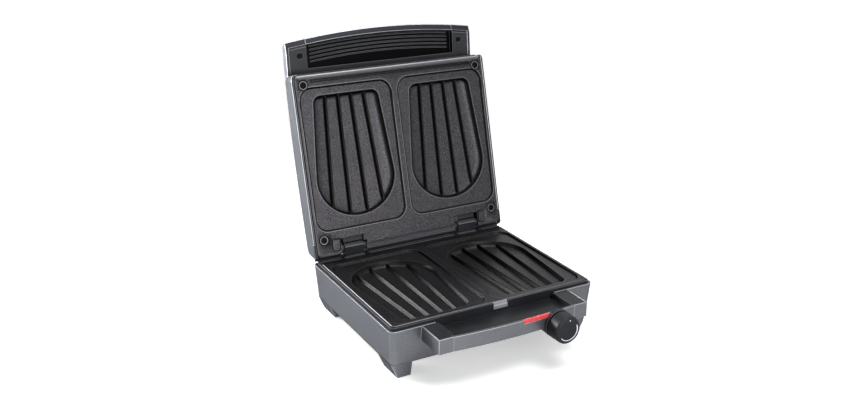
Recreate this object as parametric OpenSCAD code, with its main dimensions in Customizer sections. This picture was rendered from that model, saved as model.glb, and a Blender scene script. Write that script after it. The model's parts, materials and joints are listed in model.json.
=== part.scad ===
// Sandwich toaster for two slices side by side, shown with its lid swung open.
// Sizes are in millimetres. X runs across the front, Y runs from the front to the hinge, Z is up.
// Pieces are drawn from the front wall of the base (Y = 0) and then moved so that the origin lies
// under the middle of the whole toaster, on the table. The lid is drawn shut and then swung open.

/* [Base] */
// Overall width of the base and the lid
body_w = 262; // [250:1:280]
// Depth of the base at its rim
base_d = 203.2; // [200:0.2:212]
// Height of the base rim above the table
rim_h = 59.3; // [54:0.1:70]
// Free height under the base shell
foot_h = 18.4; // [12:0.1:22]
// How far the base walls lean in towards the bottom
base_draft = 2.9; // [1:0.1:4]
// Corner radius of the base in plan
base_corner_r = 7; // [5:0.5:12]
// Wall thickness of the two moulded shells
wall = 2.6; // [2:0.1:3]
// Width of a foot along X at the table
foot_w = 16.3; // [12:0.1:20]
// Length of a foot along Y at the table
foot_l = 31; // [24:0.5:36]
// Slope of the outer face of a foot, sideways
foot_lean = 7.8; // [4:0.1:9]
// Radius of a rubber foot pad
foot_pad_r = 5.5; // [4:0.1:6.5]
// How far a foot pad stands out below the foot
foot_pad_out = 0.6; // [0.4:0.1:1.5]

/* [Front handle] */
// Half of the distance between the seams of the bar
bar_seam_x = 76.9; // [72:0.1:82]
// Width of the grey side block beside each seam
bar_block_w = 17.5; // [14:0.1:20]
// How far the side blocks stand out in front of the base
bar_block_out = 36.8; // [32:0.1:38]
// How far the middle of the bar bows out past the blocks
bar_bow = 3.9; // [2:0.1:6]
// Thickness of the bar's front wall
bar_wall = 3.6; // [3:0.1:4.5]
// Height of the bar
bar_h = 17.5; // [16:0.1:20]
// Depth of the finger space below the rim
tray_depth = 8; // [6:0.1:8.5]
// Thickness of the floor of the finger space
tray_floor = 2.2; // [1.8:0.1:2.4]
// Height of the two black lips above the rim
lip_up = 3.5; // [2:0.1:3.7]
// Thickness of the lips
lip_t = 2.2; // [1.6:0.1:2.3]
// Left end of the left lip and right end of the right lip, from the middle
lip_end_x = 74; // [68:0.5:76]
// Middle of the drip notch between the lips
notch_x = 6.6; // [0:0.1:10]
// Width of the drip notch
notch_w = 18.3; // [12:0.1:22]

/* [Indicator and knob] */
// Left end of the red lens
lens_x = 7.7; // [0:0.1:10]
// Length of the red lens
lens_l = 34.2; // [24:0.1:34.2]
// How far the lens reaches back over the top of the bar
lens_back = 3; // [2:0.1:3.2]
// How far the lens reaches down the front of the bar
lens_drop = 4; // [3:0.1:6]
// Pitch of the fine ribs on the lens
lens_pitch = 2.4; // [1.6:0.1:4]
// Distance of the knob's axis from the middle
knob_x = 51.2; // [48:0.1:54]
// Depth of the knob's axis below the rim
knob_drop = 13.7; // [13:0.1:14.5]
// Radius of the knob at its front face
knob_r = 16; // [14:0.1:16.4]
// Radius of the knob at its back edge
knob_back_r = 16.2; // [14:0.1:17]
// Length of the knob
knob_l = 15.6; // [12:0.1:20]
// Radius of the grey collar behind the knob
collar_r = 16.3; // [15:0.1:17]
// Radius of the thermostat shaft
shaft_r = 3; // [2.5:0.1:3]
// Running clearance of the shaft and of the hinge pins
run_gap = 0.05; // [0.02:0.01:0.1]

/* [Baking plates] */
// Height of the lower plate's face above the rim
plate_up = 4; // [3.8:0.1:5]
// Gap between the two plates when the lid is shut
plate_gap = 0.5; // [0.4:0.1:1.5]
// Thickness of the cast plates
plate_t = 4; // [3:0.1:4]
// Depth of the step inside each loop round a pocket
loop_depth = 1.4; // [0.8:0.1:2]
// Corner radius of the loops
loop_r = 16; // [10:0.5:20]
// Distance of a pocket's inner side from the middle of the plate, at its widest
pocket_in_x = 12; // [10:0.5:14]
// Distance of a pocket's outer side from the side of the base, at its widest
pocket_side = 15; // [14:0.5:18]
// How much narrower each side of a pocket is at its square end
pocket_taper = 8.5; // [5:0.5:10]
// Front edge of the pockets
pocket_front_y = 16; // [14:0.5:20]
// Distance of the pockets' rear edge from the rear edge of the plate
pocket_back_in = 25; // [23:0.5:32]
// Length of a pocket's round end, behind its widest place
pocket_end_l = 47; // [42:0.5:56]
// Corner radius at the square end of a pocket
pocket_corner_r = 10; // [10:0.5:16]
// Depth of the pockets
pocket_depth = 9; // [7:0.1:10]
// Metal thickness round a pocket
pocket_skin = 2.2; // [1.6:0.1:2.6]
// Number of ribs in each pocket
rib_count = 4; // [2:1:6]
// Distance between ribs at the front edge
rib_pitch_front = 16.7; // [14:0.1:18]
// Distance between ribs at the rear edge
rib_pitch_back = 23; // [18:0.1:24]
// Width of a rib at its foot
rib_w = 6; // [4:0.1:8]
// How far the crest of a rib lies below the plate
rib_crest = 4.6; // [3:0.1:6]

/* [Hinge] */
// Opening angle of the lid in the drawn pose
lid_open = 105.1; // [0:0.1:106]
// Distance of the hinge axis in front of the base's rear wall
hinge_in = 1.2; // [0.6:0.1:2]
// Height of the hinge axis above the rim
hinge_up = 12; // [11:0.1:13]
// Radius of the round head of a hinge tower
tower_r = 7; // [6:0.1:7.2]
// Inner face of a tower, from the middle
tower_in_x = 66.5; // [62:0.1:70]
// Width of a tower
tower_w = 25.5; // [20:0.1:28]
// Thickness of a lid ear beside a tower
ear_t = 3.4; // [2.5:0.1:4]
// Radius of the hinge pins
pin_r = 2.5; // [2:0.1:3]

/* [Lid] */
// Height of the lid's crown above the plate's face
lid_crown = 40; // [37:0.1:46]
// Where the crown is highest, from the front wall of the base
crown_y = 112; // [100:1:120]
// Radius of the lid's arched top from front to back
crown_arc_r = 994; // [900:1:1400]
// How far the lid's front wall stands out past the base
lid_front_out = 10; // [8:0.1:12]
// How far the lid's rear edge stands out past the hinge axis
lid_back_out = 9; // [7:0.1:9]
// How far the lid's sides lean in towards the top
lid_draft = 3.5; // [1:0.1:5]
// Radius of the long top edges of the lid
lid_edge_r = 6; // [4:0.1:8]
// How far the lid handle's ends lie inside the sides of the lid
grip_in = 4.7; // [3.5:0.1:8]
// How far the middle of the lid handle reaches past the front wall
grip_out = 48.2; // [42:0.1:52]
// How much less it reaches at its ends
grip_bow = 9.3; // [4:0.1:12]
// Width of the grey block at each end of the handle's front band
grip_block_w = 25.5; // [22:0.1:32]
// Thickness of the grey band on the handle's front
grip_band = 5; // [4:0.1:6]
// Thickness left above the finger recess in the handle's underside
grip_roof = 4; // [3.4:0.1:6]

/* [Inside] */
// Radius of the tubular heating elements
element_r = 3.2; // [2.5:0.1:3.5]
// Half length of the elements along X
element_half_l = 92; // [80:0.5:98]
// Thickness of the heat shields
shield_t = 0.8; // [0.6:0.1:1.2]
// Depth of the heat shields behind the plates
shield_q = 19; // [18.6:0.1:20]
// Radius of the bore through the cord inlet
cord_r = 3.6; // [3:0.1:4]
// Thickness of the bottom cover
cover_t = 2.2; // [1.6:0.1:2.6]

/* [Hidden] */
$fn = 48;

// Clearances
fit = 0.2;                 // between pieces of one body that slot together
free = 0.4;                // between pieces that move past each other
eps = 0.01;                // overshoot of a cut
tall = 400;                // taller than the toaster
half_w = body_w / 2;
shell_z = foot_h;
inner_half_w = half_w - wall;
hinge_y = base_d - hinge_in;
grip_half_w = half_w - grip_in;
grip_seam_x = grip_half_w - grip_block_w;
bezel_deep = 5;            // how far the bezel reaches down inside the leaning walls
bezel_in = wall + fit + base_draft * bezel_deep / (rim_h - foot_h);
bezel_half_w = half_w - bezel_in;
plate_face_z = rim_h + plate_up;
upper_face_z = plate_face_z + plate_gap;
hinge_z = rim_h + hinge_up;
knob_z = rim_h - knob_drop;

// Front handle
bar_end_x = bar_seam_x + bar_block_w;
bar_low_z = rim_h - bar_h;
bar_front_y = -bar_block_out - bar_bow;
bar_drop = 0.5;            // the bar's top edge lies this far below the rim
floor_z = rim_h - tray_depth;
under_floor_z = floor_z - tray_floor;
skin = 2.2;                // thin walls of the black pieces
bar_steps = 14;            // straight pieces that the bow is drawn with
collar_front_y = bar_front_y - 3.2;
bush_t = 1.6;              // wall of the bush in which the shaft turns
knob_back_y = collar_front_y - 2.4;
knob_front_y = knob_back_y - knob_l;
block_top_t = 2;           // black top plates of the side blocks
notch_drop = 4.2;          // the notch reaches this far below the rim

// Plates
lower_half_w = bezel_half_w - 2.2;
lower_front_y = bezel_in + lip_t + fit;
lower_back_y = base_d - 13.2;
upper_half_w = inner_half_w - 1;
upper_front_y = -lid_front_out + 0.5;
upper_back_y = hinge_y + 5;
upper_mid_back_y = hinge_y - 2;
loop_in_x = 3.7;
loop_side = 2.2;           // width of the rim left outside a loop
loop_back_y = lower_back_y - 12;
screw_x = half_w - 13.4;
screw_front_y = 2.5;
screw_back_y = lower_back_y - 3;
boss_r = 5;                // the lid's bosses and the rings round its screws
post_x = half_w - 19;
post_front_y = pocket_front_y + 10;
post_back_y = lower_back_y - 24;
post_r = 4;
thread_r = 1.5;
screw_r = 1.4;
head_r = 3;
head_t = 1.8;
pocket_back_y = lower_back_y - pocket_back_in;
pocket_wide_y = pocket_back_y - pocket_end_l;
pocket_y = (pocket_front_y + pocket_back_y) / 2;
pocket_half_w = (half_w - pocket_side - pocket_in_x) / 2;
pocket_end_half_w = pocket_half_w - pocket_taper;
pocket_x = pocket_in_x + pocket_half_w;
dish_rings = [[0, 0], [1.1, 0.36], [2.5, 0.62], [4.6, 0.82], [8.2, 0.95]];
dish_mid = 0.55;           // share of the floor that is flat and deepest
side_lean = atan((pocket_half_w - pocket_end_half_w)
                 / (pocket_wide_y - pocket_front_y - pocket_corner_r));
element_q = pocket_depth + pocket_skin + element_r + 0.1;
element_leg = 20;          // half of the distance between an element's long legs
element_gap = 14;          // half of the gap where its ends turn back
shield_half_w = post_x + 5;
shield_front_y = post_front_y - 7;
shield_back_y = post_back_y + 7;
shield_lip = 7;
shield_gap_half_w = 30;    // opening in the shield's rear for the element's ends
shield_hole_pitch = 30;
shield_hole_r = 5;

// Hinge
tower_out_x = tower_in_x + tower_w;
slot_in_x = tower_in_x - ear_t - 2 * free;
slot_out_x = tower_out_x + ear_t + 2 * free;
slot_front_y = hinge_y - 13.1;
slot_up = 16;              // height of the slots above the plate's face
rear_strip_up = 2.2;       // rear part of the bezel above the rim
ridge_up = 1.9;            // height of the ridges on that strip
ridge_t = 0.9;
ridge_places = [lower_back_y + 1.5, lower_back_y + 6.3];
ear_front = 12.5;          // how far the ears reach in front of the hinge axis
pin_over = 0.3;            // each pin's end past the outer ears

// Lid
lid_rim_z = upper_face_z + 1;
lid_rear_rim_z = upper_face_z + 5.5;
lid_front_y = -lid_front_out;
lid_back_y = hinge_y + lid_back_out;
lid_chamfer_y = lid_back_y - 6.5;   // top of the slanted rear face
lid_rear_step_y = hinge_y - 11;   // behind this the rim is cut higher
lid_corner_r = 6;
grip_low_back = 22.3;      // underside of the handle above the plate's face, at the body
grip_low_front = 17;       // and near its front
grip_low_run = 34;         // distance between those two places
grip_nose_r = 7.5;
grip_wall = 3.9;           // grey side walls of the handle
lid_skin = 2.4;
grip_stations = 20;
grip_rib_first = 9;        // first rib of the finger recess, behind the handle's front
grip_rib_pitch = 4.6;
grip_rib_t = 1.5;
grip_screw_x = grip_half_w - 17.3;
grip_screw_y = lid_front_y - 22.5;
grip_screw_z = upper_face_z + 22;

// Fixings and the cord inlet
screw_play = 0.3;          // of a screw in the hole that it passes through
cover_screw_y = 60;        // distance from the front and rear walls
cover_screw_x = half_w - 9.5;
cover_screw_l = 12;
cover_post_l = 18;
cover_post_r = 5;
foot_mid_x = -half_w + base_draft + foot_lean + foot_w / 2;
foot_mid_y = base_draft + 3 + foot_l / 2;
cord_x = half_w - 35;
cord_z = 34;
cord_neck_r = 6;

// The whole toaster, swung open: its frontmost and rearmost points
lid_rear_reach = max([for (y = [lid_front_y - grip_out + 4 : 2 : lid_chamfer_y])
                      opened([y, top_z(y)])[0]]);
mid_y = (knob_front_y + lid_rear_reach) / 2;

function opened(p) =
    let (c = cos(lid_open), s = sin(lid_open), dy = p[0] - hinge_y, dz = p[1] - hinge_z)
    [hinge_y + c * dy + s * dz, hinge_z - s * dy + c * dz];

// Height of the lid's arched top over a place y, with the slanted and rounded rear face
function arch_z(y) = upper_face_z + lid_crown - pow(y - crown_y, 2) / (2 * crown_arc_r);
function top_z(y) =
    let (foot = lid_rear_rim_z, drop = (lid_back_y - y) / (lid_back_y - lid_chamfer_y),
         shoulder = arch_z(lid_chamfer_y) - 4)
    y > lid_chamfer_y ? foot + (shoulder - foot) * drop
    : y > lid_chamfer_y - 6 ? arch_z(y) - 4 * pow((y - lid_chamfer_y + 6) / 6, 2)
    : arch_z(y);

// Points of an arc, and of a rounded rectangle
function arc(cx, cy, r, from, to, steps) =
    [for (i = [0 : steps]) let (a = from + (to - from) * i / steps) [cx + r * cos(a), cy + r * sin(a)]];
function round_rect(x0, x1, y0, y1, r, steps = 6) = concat(
    arc(x1 - r, y0 + r, r, -90, 0, steps), arc(x1 - r, y1 - r, r, 0, 90, steps),
    arc(x0 + r, y1 - r, r, 90, 180, steps), arc(x0 + r, y0 + r, r, 180, 270, steps));
function at_z(ring, z) = [for (p = ring) [p[0], p[1], z]];

// A body through a row of rings that all have the same number of points
module loft(rings) {
    n = len(rings[0]);
    last = len(rings) - 1;
    points = [for (ring = rings) each ring];
    sides = [for (k = [0 : last - 1]) for (i = [0 : n - 1])
             let (j = (i + 1) % n, a = k * n, b = a + n)
             each [[a + i, b + i, a + j], [a + j, b + i, b + j]]];
    ends = [[for (i = [0 : n - 1]) i], [for (i = [n - 1 : -1 : 0]) last * n + i]];
    polyhedron(points, concat(sides, ends), convexity = 8);
}

module plan(x0, x1, y0, y1, r) {
    translate([x0 + r, y0]) square([x1 - x0 - 2 * r, y1 - y0]);
    translate([x0, y0 + r]) square([x1 - x0, y1 - y0 - 2 * r]);
    for (x = [x0 + r, x1 - r]) for (y = [y0 + r, y1 - r]) translate([x, y]) circle(r);
}

module slab(x0, x1, y0, y1, r, z0, z1) {
    translate([0, 0, z0]) linear_extrude(z1 - z0) plan(x0, x1, y0, y1, r);
}

module block(x0, x1, y0, y1, z0, z1) {
    translate([x0, y0, z0]) cube([x1 - x0, y1 - y0, z1 - z0]);
}

// A profile drawn in Y and Z, stretched along X
module along_x(x0, x1) {
    translate([x0, 0, 0]) rotate([90, 0, 90]) linear_extrude(x1 - x0) children();
}

module rod_y(x, z, r, y0, y1) {
    translate([x, y0, z]) rotate([-90, 0, 0]) cylinder(r = r, h = y1 - y0);
}

module rod_x(y, z, r, x0, x1) {
    translate([x0, y, z]) rotate([0, 90, 0]) cylinder(r = r, h = x1 - x0);
}

module both_sides() {
    children();
    mirror([1, 0, 0]) children();
}

module placed() {
    translate([0, -mid_y, 0]) children();
}

module in_open_pose() {
    placed() translate([0, hinge_y, hinge_z]) rotate([-lid_open, 0, 0])
        translate([0, -hinge_y, -hinge_z]) children();
}

module on_lower() {
    placed() translate([0, 0, plate_face_z]) children();
}

module on_upper() {
    in_open_pose() translate([0, 0, upper_face_z]) mirror([0, 0, 1]) children();
}

// ---- Pieces that both plates share, drawn with the cooking face at Z = 0 and the back below ----

// Outline of a pocket, drawn in by an inset; the square end is at the front
function pocket_ring(inset) =
    let (a = pocket_half_w, b = pocket_back_y - pocket_wide_y, r = pocket_corner_r,
         t0 = -atan(tan(side_lean) * b / a), cx = pocket_end_half_w - r, cy = pocket_front_y + r)
    concat(
        [for (i = [0 : 5]) let (t = -90 + (90 - side_lean) * i / 5)
            [cx + (r - inset) * cos(t), cy + (r - inset) * sin(t)]],
        [for (i = [0 : 20]) let (t = t0 + (180 - 2 * t0) * i / 20, nx = cos(t) / a, ny = sin(t) / b,
            k = norm([nx, ny])) [a * cos(t) - inset * nx / k, pocket_wide_y + b * sin(t) - inset * ny / k]],
        [for (i = [0 : 5]) let (t = 180 + side_lean + (90 - side_lean) * i / 5)
            [-cx + (r - inset) * cos(t), cy + (r - inset) * sin(t)]]);
function shrunk(ring, s) = [for (p = ring) [p[0] * s, pocket_y + (p[1] - pocket_y) * s]];

// The dish of one pocket; grow makes the same shape larger, for the metal behind it
module dish(grow, over) {
    floor_ring = pocket_ring(dish_rings[4][0] - grow);
    rings = concat(
        [at_z(shrunk(floor_ring, dish_mid), -pocket_depth - grow)],
        [for (k = [4 : -1 : 0]) at_z(pocket_ring(dish_rings[k][0] - grow),
                                     -dish_rings[k][1] * pocket_depth - grow * (k == 0 ? 0.3 : 1))],
        [at_z(pocket_ring(-grow), over)]);
    loft(rings);
}

// Ribs that fan out towards the round end
module fan_ribs() {
    run = pocket_back_y - pocket_front_y;
    foot = rib_w / 2;
    crest = rib_w / 4;
    for (i = [0 : rib_count - 1]) {
        k = i - (rib_count - 1) / 2;
        lean = atan(k * (rib_pitch_back - rib_pitch_front) / run);
        translate([k * rib_pitch_front, pocket_front_y, 0]) rotate([0, 0, -lean])
            translate([0, -pocket_corner_r, 0]) rotate([90, 0, 180]) mirror([1, 0, 0])
            linear_extrude(run + 2 * pocket_corner_r) polygon(concat(
                [[-foot, -pocket_depth - 1], [foot, -pocket_depth - 1]],
                arc(0, -rib_crest - crest, crest, 20, 160, 6)));
    }
}

module pocket_metal() {
    both_sides() translate([pocket_x, 0, 0]) dish(pocket_skin, -eps);
    both_sides() for (y = [post_front_y, post_back_y])
        translate([post_x, y, -shield_q]) cylinder(r = post_r, h = shield_q - eps);
}

module pocket_cuts(loop_half_w, loop_front_y) {
    both_sides() translate([pocket_x, 0, 0]) difference() {
        dish(0, 1);
        intersection() {
            fan_ribs();
            dish(eps, -rib_crest + 1);
        }
    }
    both_sides() slab(loop_in_x, loop_half_w, loop_front_y, loop_back_y, loop_r, -loop_depth, 1);
    both_sides() for (y = [post_front_y, post_back_y])
        translate([post_x, y, -shield_q - eps]) cylinder(r = thread_r, h = 10);
}

// Bent tubular element: two long legs joined by round bends, its ends turned back to the terminals
module element() {
    leg = element_leg;
    bend = element_leg;
    turn = 8;
    end_x = element_half_l - bend;
    tail = pocket_back_y + 2;
    translate([0, pocket_y, -element_q]) both_sides() {
        translate([0, -leg, 0]) rotate([0, 90, 0]) cylinder(r = element_r, h = end_x);
        translate([end_x, 0, 0]) rotate([0, 0, -90]) rotate_extrude(angle = 180)
            translate([bend, 0]) circle(element_r);
        translate([element_gap, leg, 0]) rotate([0, 90, 0]) cylinder(r = element_r, h = end_x - element_gap);
        translate([element_gap, leg + turn, 0]) rotate([0, 0, 180]) rotate_extrude(angle = 90)
            translate([turn, 0]) circle(element_r);
        translate([element_gap - turn, leg + turn, 0]) rotate([-90, 0, 0])
            cylinder(r = element_r, h = tail - pocket_y - leg - turn);
        translate([element_gap - turn, tail - pocket_y, 0]) rotate([-90, 0, 0])
            cylinder(r = element_r / 2, h = 7);
    }
}

// Folded heat shield behind a plate, open at the rear for the element's ends
module shield() {
    difference() {
        slab(-shield_half_w, shield_half_w, shield_front_y, shield_back_y, 4,
             -shield_q - shield_t, -shield_q + shield_lip);
        slab(-shield_half_w + shield_t, shield_half_w - shield_t, shield_front_y + shield_t,
             shield_back_y - shield_t, 3, -shield_q, -shield_q + shield_lip + 1);
        block(-shield_gap_half_w, shield_gap_half_w, shield_back_y - 2, shield_back_y + 1,
              -shield_q + eps, -shield_q + shield_lip + 1);
        both_sides() for (y = [post_front_y, post_back_y])
            translate([post_x, y, -shield_q - 2]) cylinder(r = screw_r + screw_play, h = 4);
        for (x = [-3 : 3]) translate([x * shield_hole_pitch, pocket_y, -shield_q - 2])
            cylinder(r = shield_hole_r, h = 4);
    }
}

module pan_screw(length) {
    cylinder(r = head_r, h = head_t);
    translate([0, 0, -length]) cylinder(r = screw_r, h = length + eps);
}

// ---- Base ----

function base_ring(z, inset) =
    let (lean = base_draft * (rim_h - z) / (rim_h - shell_z), d = inset + lean)
    at_z(round_rect(-half_w + d, half_w - d, d, base_d - d, max(base_corner_r - inset, 2), 8), z);

// One slanted foot, front left; the others are its mirror images
module foot() {
    top = shell_z + 6;
    out_x = half_w - base_draft - foot_lean;
    lean = foot_lean / shell_z;
    z0 = foot_pad_out;
    intersection() {
        rotate([90, 0, 0]) translate([0, 0, -base_d / 2]) linear_extrude(base_d / 2) polygon([
            [-out_x, z0], [-out_x + foot_w, z0], [-out_x + foot_w + 0.8, top],
            [-out_x - lean * (shell_z - z0), top], [-out_x - lean * (shell_z - z0), shell_z]]);
        along_x(-half_w, half_w) polygon([
            [base_draft + 3, z0], [base_draft + 3 + foot_l, z0],
            [base_draft + 3 + foot_l + 3, top], [base_draft + 0.3, top], [base_draft + 0.3, shell_z]]);
        loft([base_ring(0, 0.2), base_ring(top + 1, 0.2)]);
    }
}

module cover_screw_places() {
    both_sides() for (y = [cover_screw_y, base_d - cover_screw_y])
        translate([cover_screw_x, y, 0]) children();
}

module four_feet() {
    for (side = [0, 1]) mirror([side, 0, 0]) {
        children();
        translate([0, base_d, 0]) mirror([0, 1, 0]) children();
    }
}

// Curved front outline of the bar, from the left seam to the right seam
function bar_y(x, inset = 0) = bar_front_y + bar_bow * pow(x / bar_seam_x, 2) + inset;
function bar_band(x0, x1, in0, in1) = concat(
    [for (i = [0 : bar_steps]) let (x = x0 + (x1 - x0) * i / bar_steps) [x, bar_y(x, in0)]],
    [for (i = [bar_steps : -1 : 0]) let (x = x0 + (x1 - x0) * i / bar_steps) [x, bar_y(x, in1)]]);

module side_block() {
    side = 2.6;
    difference() {
        block(bar_seam_x + fit / 2, bar_end_x, -bar_block_out, wall, bar_low_z, rim_h);
        block(bar_seam_x - 1, bar_end_x - side, -bar_block_out + side, wall + 1,
              bar_low_z + side, rim_h - block_top_t);
        block(bar_seam_x - 1, bar_end_x - side / 2, -bar_block_out + side / 2, wall + 1,
              rim_h - block_top_t, rim_h + 1);
    }
}

module base_shell() {
    lug_z = plate_face_z - shield_q - shield_t;
    color([0.43, 0.44, 0.47]) placed() difference() {
        union() {
            difference() {
                loft([base_ring(shell_z, 0), base_ring(rim_h, 0)]);
                loft([base_ring(shell_z - 1, wall), base_ring(rim_h + 1, wall)]);
            }
            four_feet() foot();
            both_sides() side_block();
            // underside of the handle
            translate([0, 0, bar_low_z]) linear_extrude(skin) polygon(concat(
                bar_outline(bar_wall + fit),
                [[bar_seam_x + 1, -bar_block_out + 1], [bar_seam_x + 1, wall],
                 [-bar_seam_x - 1, wall], [-bar_seam_x - 1, -bar_block_out + 1]]));
            // lugs that carry the lower plate, and posts for the bottom cover
            both_sides() for (y = [post_front_y, post_back_y]) {
                block(post_x - 7, half_w - wall, y - 7, y + 7, lug_z - 3, lug_z);
                block(half_w - wall - 8, half_w - wall, y - 1.5, y + 1.5, shell_z + 7, lug_z - 3 + eps);
            }
            cover_screw_places() translate([0, 0, shell_z + cover_t + fit / 2])
                cylinder(r = cover_post_r, h = cover_post_l);
        }
        // way into the finger space
        block(-bar_seam_x, bar_seam_x, -1, wall + 1, under_floor_z - fit / 2, rim_h + 1);
        both_sides() for (y = [post_front_y, post_back_y])
            translate([post_x, y, lug_z - 4]) cylinder(r = screw_r + screw_play, h = 5);
        cover_screw_places() translate([0, 0, shell_z]) cylinder(r = thread_r, h = cover_screw_l + 2);
        four_feet() translate([foot_mid_x, foot_mid_y, 0]) cylinder(r = foot_pad_r + 0.1, h = 2.6);
        // room for the thermostat in the handle and the front wall
        block(knob_x - collar_r + 1, knob_x + collar_r - 1, -bar_block_out, wall + 2,
              bar_low_z - 1, bar_low_z + skin + 1);
        rod_y(knob_x, knob_z, 6, -1, wall + 4);
        rod_y(cord_x, cord_z, cord_neck_r + fit / 2, base_d - 6, base_d + 6);
    }
}

module bottom_cover() {
    inset = wall + base_draft + fit;
    vent_w = 4;
    vent_l = 32;
    vent_gap = 16;
    vent_pitch = 17;
    color([0.1, 0.1, 0.11]) placed() difference() {
        slab(-half_w + inset, half_w - inset, inset, base_d - inset, 3, shell_z, shell_z + cover_t);
        four_feet() block(-half_w, foot_mid_x + foot_w / 2 + 1.4 + fit, 0,
                          foot_mid_y + foot_l / 2 + 3.5 + fit, shell_z - 1, shell_z + cover_t + 1);
        cover_screw_places() translate([0, 0, shell_z - 1])
            cylinder(r = screw_r + screw_play, h = cover_t + 2);
        // two fields of vent slots
        for (i = [-4 : 4]) for (y = [base_d / 2 - vent_gap / 2 - vent_l, base_d / 2 + vent_gap / 2])
            slab(i * vent_pitch - vent_w / 2, i * vent_pitch + vent_w / 2, y, y + vent_l, vent_w / 2 - 0.1,
                 shell_z - 1, shell_z + cover_t + 1);
    }
}

module cover_screws() {
    color([0.6, 0.6, 0.62]) placed() cover_screw_places()
        translate([0, 0, shell_z]) mirror([0, 0, 1]) pan_screw(cover_screw_l);
}

module foot_pads() {
    color([0.07, 0.07, 0.07]) placed() four_feet()
        translate([foot_mid_x, foot_mid_y, 0]) cylinder(r1 = foot_pad_r - 0.5, r2 = foot_pad_r, h = 2.5);
}

module base_bezel() {
    front = bezel_in;
    back = base_d - bezel_in;
    top = rim_h + plate_up - 1;
    ledge_z = plate_face_z - plate_t;
    color([0.09, 0.09, 0.1]) placed() difference() {
        union() {
            difference() {
                slab(-bezel_half_w, bezel_half_w, front, back, base_corner_r - wall, rim_h - bezel_deep, top);
                slab(-lower_half_w - fit, lower_half_w + fit, lower_front_y - fit, lower_back_y + fit, 4,
                     ledge_z, top + 1);
                slab(-lower_half_w + 3, lower_half_w - 3, lower_front_y + 3, lower_back_y - 3, 4,
                     rim_h - bezel_deep - 1, top);
                block(-half_w, half_w, lower_back_y + fit, base_d, rim_h + rear_strip_up, top + 1);
            }
            block(notch_x - notch_w / 2 - 2, notch_x + notch_w / 2 + 2, front, front + lip_t,
                  floor_z, rim_h - notch_drop);
            // the two lips that close the finger space at the back
            for (span = [[-lip_end_x, notch_x - notch_w / 2], [notch_x + notch_w / 2, lip_end_x]])
                lip(span[0], span[1], front);
            // ridges on the rear strip, between the towers and outside them
            for (y = ridge_places) {
                strip_z = rim_h + rear_strip_up;
                block(-slot_in_x + 2, slot_in_x - 2, y, y + ridge_t, strip_z - eps, strip_z + ridge_up);
                both_sides() block(slot_out_x + 2, bezel_half_w - 1, y, y + ridge_t,
                                   strip_z - eps, strip_z + ridge_up);
            }
        }
        block(notch_x - notch_w / 2, notch_x + notch_w / 2, front - 1, lower_front_y - fit,
              rim_h - notch_drop, top + 1);
    }
}

// One lip with rounded upper ends
module lip(x0, x1, y) {
    r = 4;
    z0 = floor_z;
    z1 = rim_h + lip_up;
    translate([0, y + lip_t, 0]) rotate([90, 0, 0]) linear_extrude(lip_t) {
        translate([x0, z0]) square([x1 - x0, z1 - z0 - r]);
        translate([x0 + r, z0]) square([x1 - x0 - 2 * r, z1 - z0]);
        translate([x0 + r, z1 - r]) circle(r);
        translate([x1 - r, z1 - r]) circle(r);
    }
}

module drip_spout() {
    y0 = bezel_in;
    y1 = lower_front_y - fit;
    z0 = rim_h - notch_drop + 0.05;
    color([0.45, 0.45, 0.47]) placed() along_x(notch_x - notch_w / 2 + fit, notch_x + notch_w / 2 - fit)
        polygon([[y0, z0], [y1, z0], [y1, plate_face_z - 0.4], [y1 - 0.6, plate_face_z - 0.4],
                 [y0 + 1, rim_h + 0.2], [y0, rim_h - 0.4]]);
}

module lower_plate() {
    color([0.25, 0.24, 0.24]) on_lower() difference() {
        union() {
            slab(-lower_half_w, lower_half_w, lower_front_y, lower_back_y, 5, -plate_t, 0);
            pocket_metal();
        }
        pocket_cuts(lower_half_w - loop_side, lower_front_y + loop_side);
    }
}

module lower_plate_screws() {
    color([0.6, 0.6, 0.62]) on_lower() both_sides() for (y = [post_front_y, post_back_y])
        translate([post_x, y, -shield_q - shield_t - 3]) mirror([0, 0, 1]) pan_screw(10);
}

module lower_element() {
    color([0.5, 0.47, 0.44]) on_lower() element();
}

module lower_reflector() {
    color([0.75, 0.75, 0.76]) on_lower() shield();
}

module thermal_fuse() {
    r = 2.8;
    color([0.8, 0.78, 0.72]) on_lower() rod_y(0, -plate_t - r - 0.1, r, pocket_y - 9, pocket_y + 9);
}

module terminal_block() {
    x0 = -70;
    y0 = base_d - 27.2;
    z0 = shell_z + cover_t;
    w = 30;
    d = 14;
    h = 14;
    color([0.85, 0.84, 0.8]) placed() difference() {
        block(x0, x0 + w, y0, y0 + d, z0, z0 + h);
        for (i = [0 : 2]) translate([x0 + 5 + i * 10, y0 + d / 2, z0 + 5]) cylinder(r = 2.2, h = h);
        for (i = [0 : 2]) rod_y(x0 + 5 + i * 10, z0 + 5, 1.6, y0 - 1, y0 + d + 1);
    }
}

// Grommet in the rear wall where a supply lead passes; its bore is free
module cord_inlet() {
    out = 3;
    collar = cord_neck_r + 2.5;
    rear_y = base_d - base_draft * (rim_h - cord_z) / (rim_h - shell_z);
    color([0.08, 0.08, 0.08]) placed() translate([cord_x, rear_y, cord_z]) rotate([90, 0, 0])
    difference() {
        union() {
            translate([0, 0, -out]) cylinder(r = collar, h = out - 0.8);
            translate([0, 0, -out]) cylinder(r = cord_neck_r, h = out + wall + 3);
            translate([0, 0, wall + 0.8]) cylinder(r = cord_neck_r + 1.6, h = 2.2);
        }
        translate([0, 0, -out - 1]) cylinder(r = cord_r, h = out + wall + 6);
    }
}

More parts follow.
